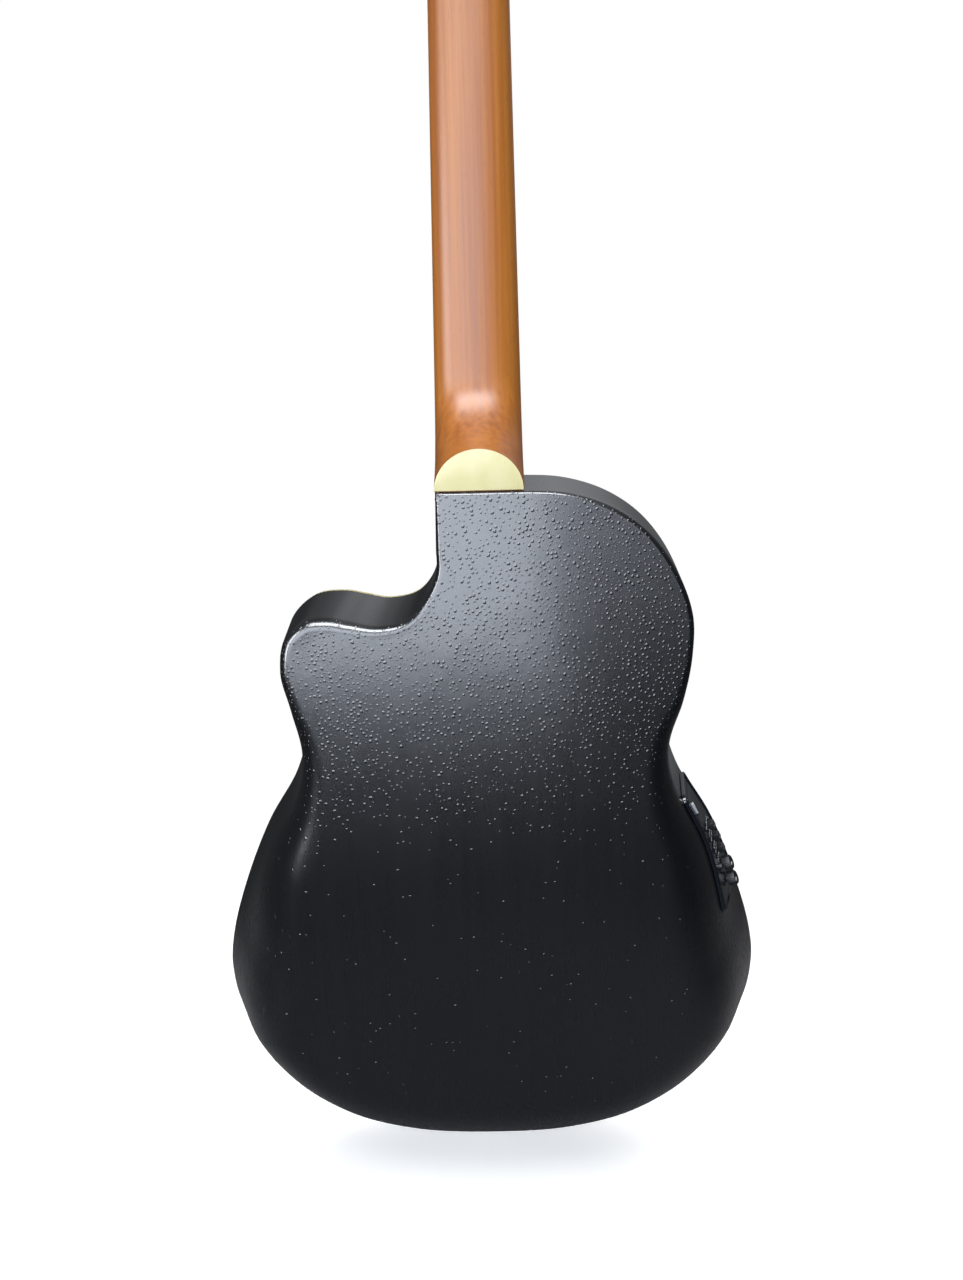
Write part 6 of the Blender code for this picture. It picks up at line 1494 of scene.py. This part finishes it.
PREAMP_PLACE = (-166.772, 0.0, JOINT_Z - 256.0)  # on the body's outline, at the panel's middle
PREAMP_HALF = 46.5
PREAMP_Y = (12.0, 56.0)
PLATE_ROUND = 5.0
PLATE_UNDER, PLATE_OVER = 0.5, 2.5
PANEL_OVER = 2.1  # the panel lies a little under the frame round it
CASE_WALL = 1.6
DRAWER_AT = 30.0
CELL_SIZE = (17.2, 26.2, 47.5)
DRAWER_DEEP = 60.0
DRAWER_HALF, DRAWER_TALL = 10.4, 14.9
BAY_Y = 33.2
CONTROL_Y = 32.2
HOUSING_P = (-41.5, DRAWER_AT + DRAWER_HALF + GAP + CASE_WALL)
HOUSING_Y = (BAY_Y - DRAWER_TALL - GAP - CASE_WALL, BAY_Y + DRAWER_TALL + GAP + CASE_WALL)
SLIDE_TRAVEL = 18.0
STEM_LONG = 6.0
SLOT_HALF_WIDE = 1.5
SLIDER_AT = (8.0, -1.5, -11.0)
KNOB_AT = (-23.5, -35.8)
KNOB_RADIUS = 5.4
STEM_RADIUS = 2.0
BUTTON_AT = (-17.5, 44.2)
DRAPE = 3.0

drawer_way = [j["axis"] for j in frame["joints"] if j["name"] == "battery_drawer_slide"][0]
PREAMP = placement(PREAMP_PLACE, Vector((0, 1, 0)).cross(Vector(drawer_way)), drawer_way)


def moulded(name, code, roughness, spread=0.06, grain=0.012, **sockets):
    """Plastic with faint wiping marks in its gloss and a fine uneven skin."""
    look, tree, shader = new_finish(name, code, roughness, **sockets)
    wiped = mottle(tree, (60.0, 380.0, 60.0), 4.0)
    textured(tree, shader, wiped, gloss=(roughness - spread, roughness + spread))
    textured(tree, shader, mottle(tree, (1400.0, 1400.0, 1400.0)), raised=grain, strength=0.5)
    return look


lacquered = {"Coat_Weight": 0.6, "Coat_Roughness": 0.08}
panel_black = moulded("gloss_black_plastic", "13171D", 0.16, 0.05, 0.006, **lacquered)
knob_black = moulded("satin_black_plastic", "1B1C1F", 0.38)
latch_grey = moulded("grey_plastic", "B9BDC0", 0.34)
mark_paint = moulded("white_paint", "D5D6D4", 0.5)
lead_sheath = moulded("soft_black_sheath", "17181A", 0.5)


def skin_height(p, y):
    """How far the shell's outside stands out, at a point of the panel's own axes."""
    out = PREAMP.col[2].to_3d()
    spot = skin.ray_cast(PREAMP @ Vector((p, y, 90.0)), -out)[0]
    return (spot - PREAMP.translation).dot(out)


def draped(name, loops, low, high, look, both=True, angle=50.0):
    """A flat shape laid on the shell: its outer face, or both faces, follow the skin."""
    points, faces = prism_mesh(loops, low, high)
    build = bmesh.new()
    spots = [build.verts.new(p) for p in points]
    for face in faces:
        build.faces.new([spots[i] for i in face])
    for axis, normal in ((0, (1, 0, 0)), (1, (0, 1, 0))):
        values = [p[axis] for p in points]
        for k in range(math.ceil(min(values) / DRAPE + 0.1), math.ceil(max(values) / DRAPE - 0.1)):
            at = [0.0, 0.0, 0.0]
            at[axis] = k * DRAPE
            everything = build.verts[:] + build.edges[:] + build.faces[:]
            bmesh.ops.bisect_plane(build, geom=everything, plane_co=at, plane_no=normal, dist=1e-5)
    for vert in build.verts:
        if both or vert.co.z > (low + high) / 2:
            vert.co.z += skin_height(vert.co.x, vert.co.y)
    bmesh.ops.triangulate(build, faces=build.faces[:])
    build.verts.index_update()
    points = [tuple(v.co) for v in build.verts]
    faces = [tuple(v.index for v in f.verts) for f in build.faces]
    build.free()
    return placed_piece(name, PREAMP, (points, faces), look, angle)


def panel_box(p, y, q):
    """A box along the panel's axes."""
    loop = [(p[0], y[0]), (p[1], y[0]), (p[1], y[1]), (p[0], y[1])]
    return placed_piece("panel_box", PREAMP, prism_mesh([loop], *q), panel_black)


def surface_frame(p, y, span):
    """Placement on the panel's outside, and how far its outer and inner faces reach past the chord."""
    y0, y1 = y - span / 2, y + span / 2
    along = Vector((0.0, y1 - y0, skin_height(p, y1) - skin_height(p, y0))).normalized()
    out = Vector((0.0, -along.z, along.y))
    start = Vector((p, y, (skin_height(p, y0) + skin_height(p, y1)) / 2))
    reach = []
    for v in np.linspace(y0, y1, 9):
        reach += [(Vector((p + side, v, skin_height(p + side, v))) - start).dot(out) for side in (-2.5, 2.5)]
    turn = PREAMP.to_3x3()
    at = placement(PREAMP @ start, turn @ Vector((1, 0, 0)), turn @ out)
    return at, max(reach) + PLATE_OVER * out.z, min(reach) + PLATE_UNDER * out.z


hole_p, hole_y = [(low - GAP, high + GAP) for low, high in (HOUSING_P, HOUSING_Y)]
cut(bowl, panel_box(hole_p, hole_y, (-50.0, 30.0)), angle=50.0)

y_low, y_high = PREAMP_Y
inner_loop = rounded(-PREAMP_HALF + 0.9, PREAMP_HALF - 0.9, y_low + 0.9, y_high - 0.9, PLATE_ROUND - 0.9)
plate = draped("preamp_panel", [inner_loop], PLATE_UNDER, PANEL_OVER, panel_black)
door_p = (DRAWER_AT - DRAWER_HALF, DRAWER_AT + DRAWER_HALF)
door_y = (BAY_Y - DRAWER_TALL, BAY_Y + DRAWER_TALL)
bay = rounded(door_p[0] - GAP, door_p[1] + GAP, door_y[0] - GAP, door_y[1] + GAP, 0.9, 4)
openings = [bay]
slider_frames = []
for p in SLIDER_AT:
    at, over, under = surface_frame(p, CONTROL_Y, SLIDE_TRAVEL + STEM_LONG)
    half = (SLIDE_TRAVEL + STEM_LONG) / 2 * at.col[1].y + 1.6
    slot = (p - SLOT_HALF_WIDE, p + SLOT_HALF_WIDE, CONTROL_Y - half, CONTROL_Y + half)
    openings.append(rounded(*slot, 1.4, 7))
    slider_frames.append((at, over, under))
openings = joined([prism_mesh([loop], -60.0, 40.0) for loop in openings])
cut(plate, placed_piece("cut_openings", PREAMP, openings, panel_black), angle=50.0)
round_frames = [surface_frame(p, CONTROL_Y, 2 * KNOB_RADIUS) for p in KNOB_AT]
round_frames.append(surface_frame(*BUTTON_AT, 5.0))
stem_hole = (STEM_RADIUS + GAP, -12.0, 12.0, 24)
bores = [bar(at.translation, at.col[2].to_3d(), *stem_hole) for at, _, _ in round_frames]
cut(plate, piece("cut_bores", *joined(bores), panel_black), angle=50.0)

# The raised frame is drawn as one ring of the section below, laid on the skin.
bezel_section = ((0.0, 0.5), (0.0, 2.1), (0.25, 2.8), (0.8, 3.1))
bezel_section += ((1.4, 3.0), (1.75, 2.6), (1.9, 2.0), (1.9, 0.6))
rings = []
for inwards, high in bezel_section:
    radius = max(PLATE_ROUND - inwards, 0.5)
    half = PREAMP_HALF - PLATE_ROUND + radius
    loop = rounded(-half, half, y_low + PLATE_ROUND - radius, y_high - PLATE_ROUND + radius, radius)
    ring = []
    for a, b in zip(loop, loop[1:] + loop[:1]):
        count = max(1, round(math.dist(a, b) / DRAPE))
        ring += [(a[0] + (b[0] - a[0]) * k / count, a[1] + (b[1] - a[1]) * k / count) for k in range(count)]
    rings.append([(p, y, skin_height(p, y) + high) for p, y in ring])
bezel = placed_piece("preamp_frame", PREAMP, band(rings), panel_black, 60.0)
dress(bezel, "moulded_black")
dress(plate, "moulded_black", "preamp_faceplate")

for word, (at, over, under) in zip(("bass", "middle", "treble"), slider_frames):
    top, foot = over + 0.4, under - 0.5
    side = [(2.5, foot - 1.0), (2.5, foot), (1.1, foot), (1.1, top), (2.6, top), (2.6, top + 3.2)]
    side += [(2.0, top + 4.2), (0.4, top + 4.4), (0.3, top + 3.9)]
    section = [(-a, b) for a, b in side] + [(a, b) for a, b in reversed(side)]
    cap = prism_mesh([section], -STEM_LONG / 2, STEM_LONG / 2, upright)
    slider = soften(placed_piece(f"slider_cap_{word}", at, cap, knob_black), 0.22, 2, 60.0)
    dress(slider, "knob_plastic", f"slider_{word}", body=f"slider_{word}")
    line = [(-0.28, top + 3.7), (0.28, top + 3.7), (0.28, top + 4.1), (-0.28, top + 4.1)]
    line = prism_mesh([line], -STEM_LONG / 2 + 0.3, STEM_LONG / 2 - 0.3, upright)
    mark = soften(placed_piece(f"slider_line_{word}", at, line, mark_paint), 0.08, 1, 60.0)
    dress(mark, "knob_plastic", body=f"slider_{word}")

for word, (at, over, under) in zip(("blend", "volume"), round_frames):
    base, foot = over + 0.5, under - 0.6
    profile = [(3.4, foot - 1.2, 0), (3.4, foot, 0), (STEM_RADIUS, foot, 0), (STEM_RADIUS, base, 0)]
    # The grip: how far inside its radius, how high, and how much of the ribs it shows.
    grip = ((0.2, 0.0, 0), (0.0, 0.3, 1), (0.25, 4.9, 1), (0.5, 5.4, 0.3))
    grip += ((0.9, 5.8, 0), (1.5, 5.9, 0), (1.9, 5.6, 0))
    profile += [(KNOB_RADIUS - inside, base + high, ribs) for inside, high, ribs in grip]
    rings = []
    for radius, high, ribs in profile:
        spin = np.linspace(0, 2 * math.pi, 145)[:-1]
        out = radius - 0.3 * ribs * (0.5 - 0.5 * np.cos(24 * spin)) ** 2
        rings.append([(r * math.cos(t), r * math.sin(t), high) for r, t in zip(out, spin)])
    knob = placed_piece(f"ribbed_knob_{word}", at, loft(rings), knob_black, 50.0)
    dress(knob, "knob_plastic", f"knob_{word}", body=f"knob_{word}")
    pointer = [(-0.35, 0.8), (0.35, 0.8), (0.35, KNOB_RADIUS - 0.9), (-0.35, KNOB_RADIUS - 0.9)]
    pointer = prism_mesh([pointer], base + 5.4, base + 6.05)
    mark = soften(placed_piece(f"knob_pointer_{word}", at, pointer, mark_paint), 0.12, 2, 60.0)
    dress(mark, "knob_plastic", body=f"knob_{word}")

at, over, under = round_frames[2]
profile = [
    (3.0, under - 2.4), (3.0, under - 0.6), (STEM_RADIUS, under - 0.6), (STEM_RADIUS, over + 1.3),
    (STEM_RADIUS - 0.15, over + 1.65), (STEM_RADIUS - 0.45, over + 1.8), (STEM_RADIUS - 1.0, over + 1.6),
    (0.4, over + 1.45),
]
button = placed_piece("dished_button", at, turned(profile, 32), knob_black, 35.0)
dress(button, "knob_plastic", "phase_button", body="phase_button")

# The drawer's door and tray are one moulding, open at one side for the cell, with a recess to pull it by.
door_loop = rounded(*door_p, *door_y, 0.8, 4)
spots = [(p, y) for p in door_p for y in (*door_y, BAY_Y)]
tray_foot = min(skin_height(p, y) for p, y in spots) - DRAWER_DEEP
drawer = draped("drawer_moulding", [door_loop], tray_foot, PANEL_OVER + 0.2, panel_black, False, 60.0)
soften(drawer, 0.35, 2, 70.0)
cell_low = tray_foot + 2.0
half_p, half_y, cell_long = CELL_SIZE[0] / 2, CELL_SIZE[1] / 2, CELL_SIZE[2]
cell_bay = (BAY_Y - half_y - GAP, BAY_Y + half_y + GAP), (cell_low - GAP, cell_low + cell_long + 2 * GAP)
cut(drawer, panel_box((door_p[0] - 5.0, DRAWER_AT + half_p + GAP), *cell_bay), angle=60.0)
pull_q = skin_height(DRAWER_AT, door_y[1] - 5.3)
recess = rounded(DRAWER_AT - 6.0, DRAWER_AT + 6.0, door_y[1] - 7.4, door_y[1] - 2.6, 1.2, 5)
recess = prism_mesh([recess], pull_q + 0.9, 60.0)
cut(drawer, placed_piece("cut_recess", PREAMP, recess, panel_black), angle=60.0)
dress(drawer, "black_plastic", "battery_drawer", body="battery_drawer")
latch = rounded(DRAWER_AT - 4.4, DRAWER_AT + 4.4, door_y[1] - 6.4, door_y[1] - 3.6, 0.8, 5)
latch = prism_mesh([latch], pull_q + 0.7, pull_q + 3.3)
latch = soften(placed_piece("drawer_latch", PREAMP, latch, latch_grey), 0.3, 2, 60.0)
dress(latch, "black_plastic", body="battery_drawer")

# A 9-volt cell: a steel jacket in a two-tone wrap, with its snaps inside the drawer's far end.
wrap, tree, shader = new_finish("cell_wrap", "2A2C30", 0.34, Metallic=0.4)
outwards = PREAMP.col[2].to_3d()
level = [add(tree, "ShaderNodeTexCoord").outputs["Object"], tuple(outwards)]
level = add(tree, "ShaderNodeVectorMath", level, operation="DOT_PRODUCT").outputs["Value"]
band_at = (PREAMP.translation.dot(outwards) + cell_low + 33.0) * MM
upper = add(tree, "ShaderNodeMath", [level, band_at], operation="GREATER_THAN")
tone = add(tree, "ShaderNodeMix", {0: upper, 6: linear("2A2C30"), 7: linear("B98A3C")}, data_type="RGBA")
connect(tree, shader, {"Base Color": tone.outputs[2]})
textured(tree, shader, mottle(tree, (120.0, 500.0, 120.0), 4.0), gloss=(0.26, 0.42), raised=0.03)
cell_loop = rounded(DRAWER_AT - half_p, DRAWER_AT + half_p, BAY_Y - half_y, BAY_Y + half_y, 1.6, 6)
cell_top = cell_low + cell_long - 3.0
cell = placed_piece("nine_volt_cell", PREAMP, prism_mesh([cell_loop], cell_low, cell_top), wrap)
dress(soften(cell, 0.5, 2, 60.0), "battery_wrap", "battery", body="battery_drawer")
snaps = []
for y, radius, count in ((BAY_Y - 6.35, 2.9, 32), (BAY_Y + 6.35, 3.9, 6)):
    crown = ((1.0, -0.4), (1.0, 0.6), (0.86, 1.0), (0.86, 1.8), (1.0, 2.2), (0.95, 2.8))
    crown = [(radius * share, high) for share, high in crown]
    points, faces = turned(crown, count)
    snaps.append(([(DRAWER_AT + a, y + b, cell_top + c) for a, b, c in points], faces))
snaps = placed_piece("cell_snaps", PREAMP, joined(snaps), nickel_plate, 35.0)
dress(snaps, "nickel_steel", body="battery_drawer")
finish(panel_black, "preamp_housing")

# Painted ticks stand beside each slider's slot, longer at its middle and its ends.
tree, given = new_growth("slot_ticks", Long=0.0019, Wide=0.00035, High=0.0002)
turn = add(tree, "GeometryNodeInputNamedAttribute", {"Name": "turn"}, data_type="FLOAT_VECTOR")
stretch = add(tree, "GeometryNodeInputNamedAttribute", {"Name": "stretch"}, data_type="FLOAT")
size = add(tree, "ShaderNodeCombineXYZ", [given["Long"], given["Wide"], given["High"]])
marks = {
    "Points": given["Geometry"],
    "Instance": add(tree, "GeometryNodeMeshCube", {"Size": size}),
    "Rotation": turn,
    "Scale": add(tree, "ShaderNodeCombineXYZ", [stretch, 1.0, 1.0]),
}
placed = add(tree, "GeometryNodeInstanceOnPoints", marks)
finish_growth(tree, placed, mark_paint)
spots, turns, stretches = [], [], []
for p in SLIDER_AT:
    for k in range(-4, 5):
        for side in (-1, 1):
            long = 1.0 if k % 4 == 0 else 0.55
            a, b = p + side * (SLOT_HALF_WIDE + 0.5 + 0.95 * long), CONTROL_Y + k * SLIDE_TRAVEL / 8 * 0.9
            at = surface_frame(a, b, 2.0)[0]
            lift = Vector((0.0, 0.0, PANEL_OVER * at.col[2].to_3d().dot(outwards)))
            spots.append(tuple(at @ lift * MM))
            turns.append(tuple(at.to_euler()))
            stretches.append(long)
mesh = bpy.data.meshes.new("tick_spots")
mesh.from_pydata(spots, [], [])
mesh.attributes.new("turn", "FLOAT_VECTOR", "POINT").data.foreach_set("vector", np.array(turns).ravel())
mesh.attributes.new("stretch", "FLOAT", "POINT").data.foreach_set("value", stretches)
ticks = bpy.data.objects.new("slot_ticks", mesh)
scene_links(ticks)
grow(ticks, tree)
tidy_mesh(ticks, 30.0)
dress(ticks, "knob_plastic")

# Leads
#
# Two thin leads in soft black sheaths run inside the body, one from the saddle's pickup to the preamp and one
# from the preamp to the jack.

finish(lead_sheath, "jack_lead", "pickup_lead")
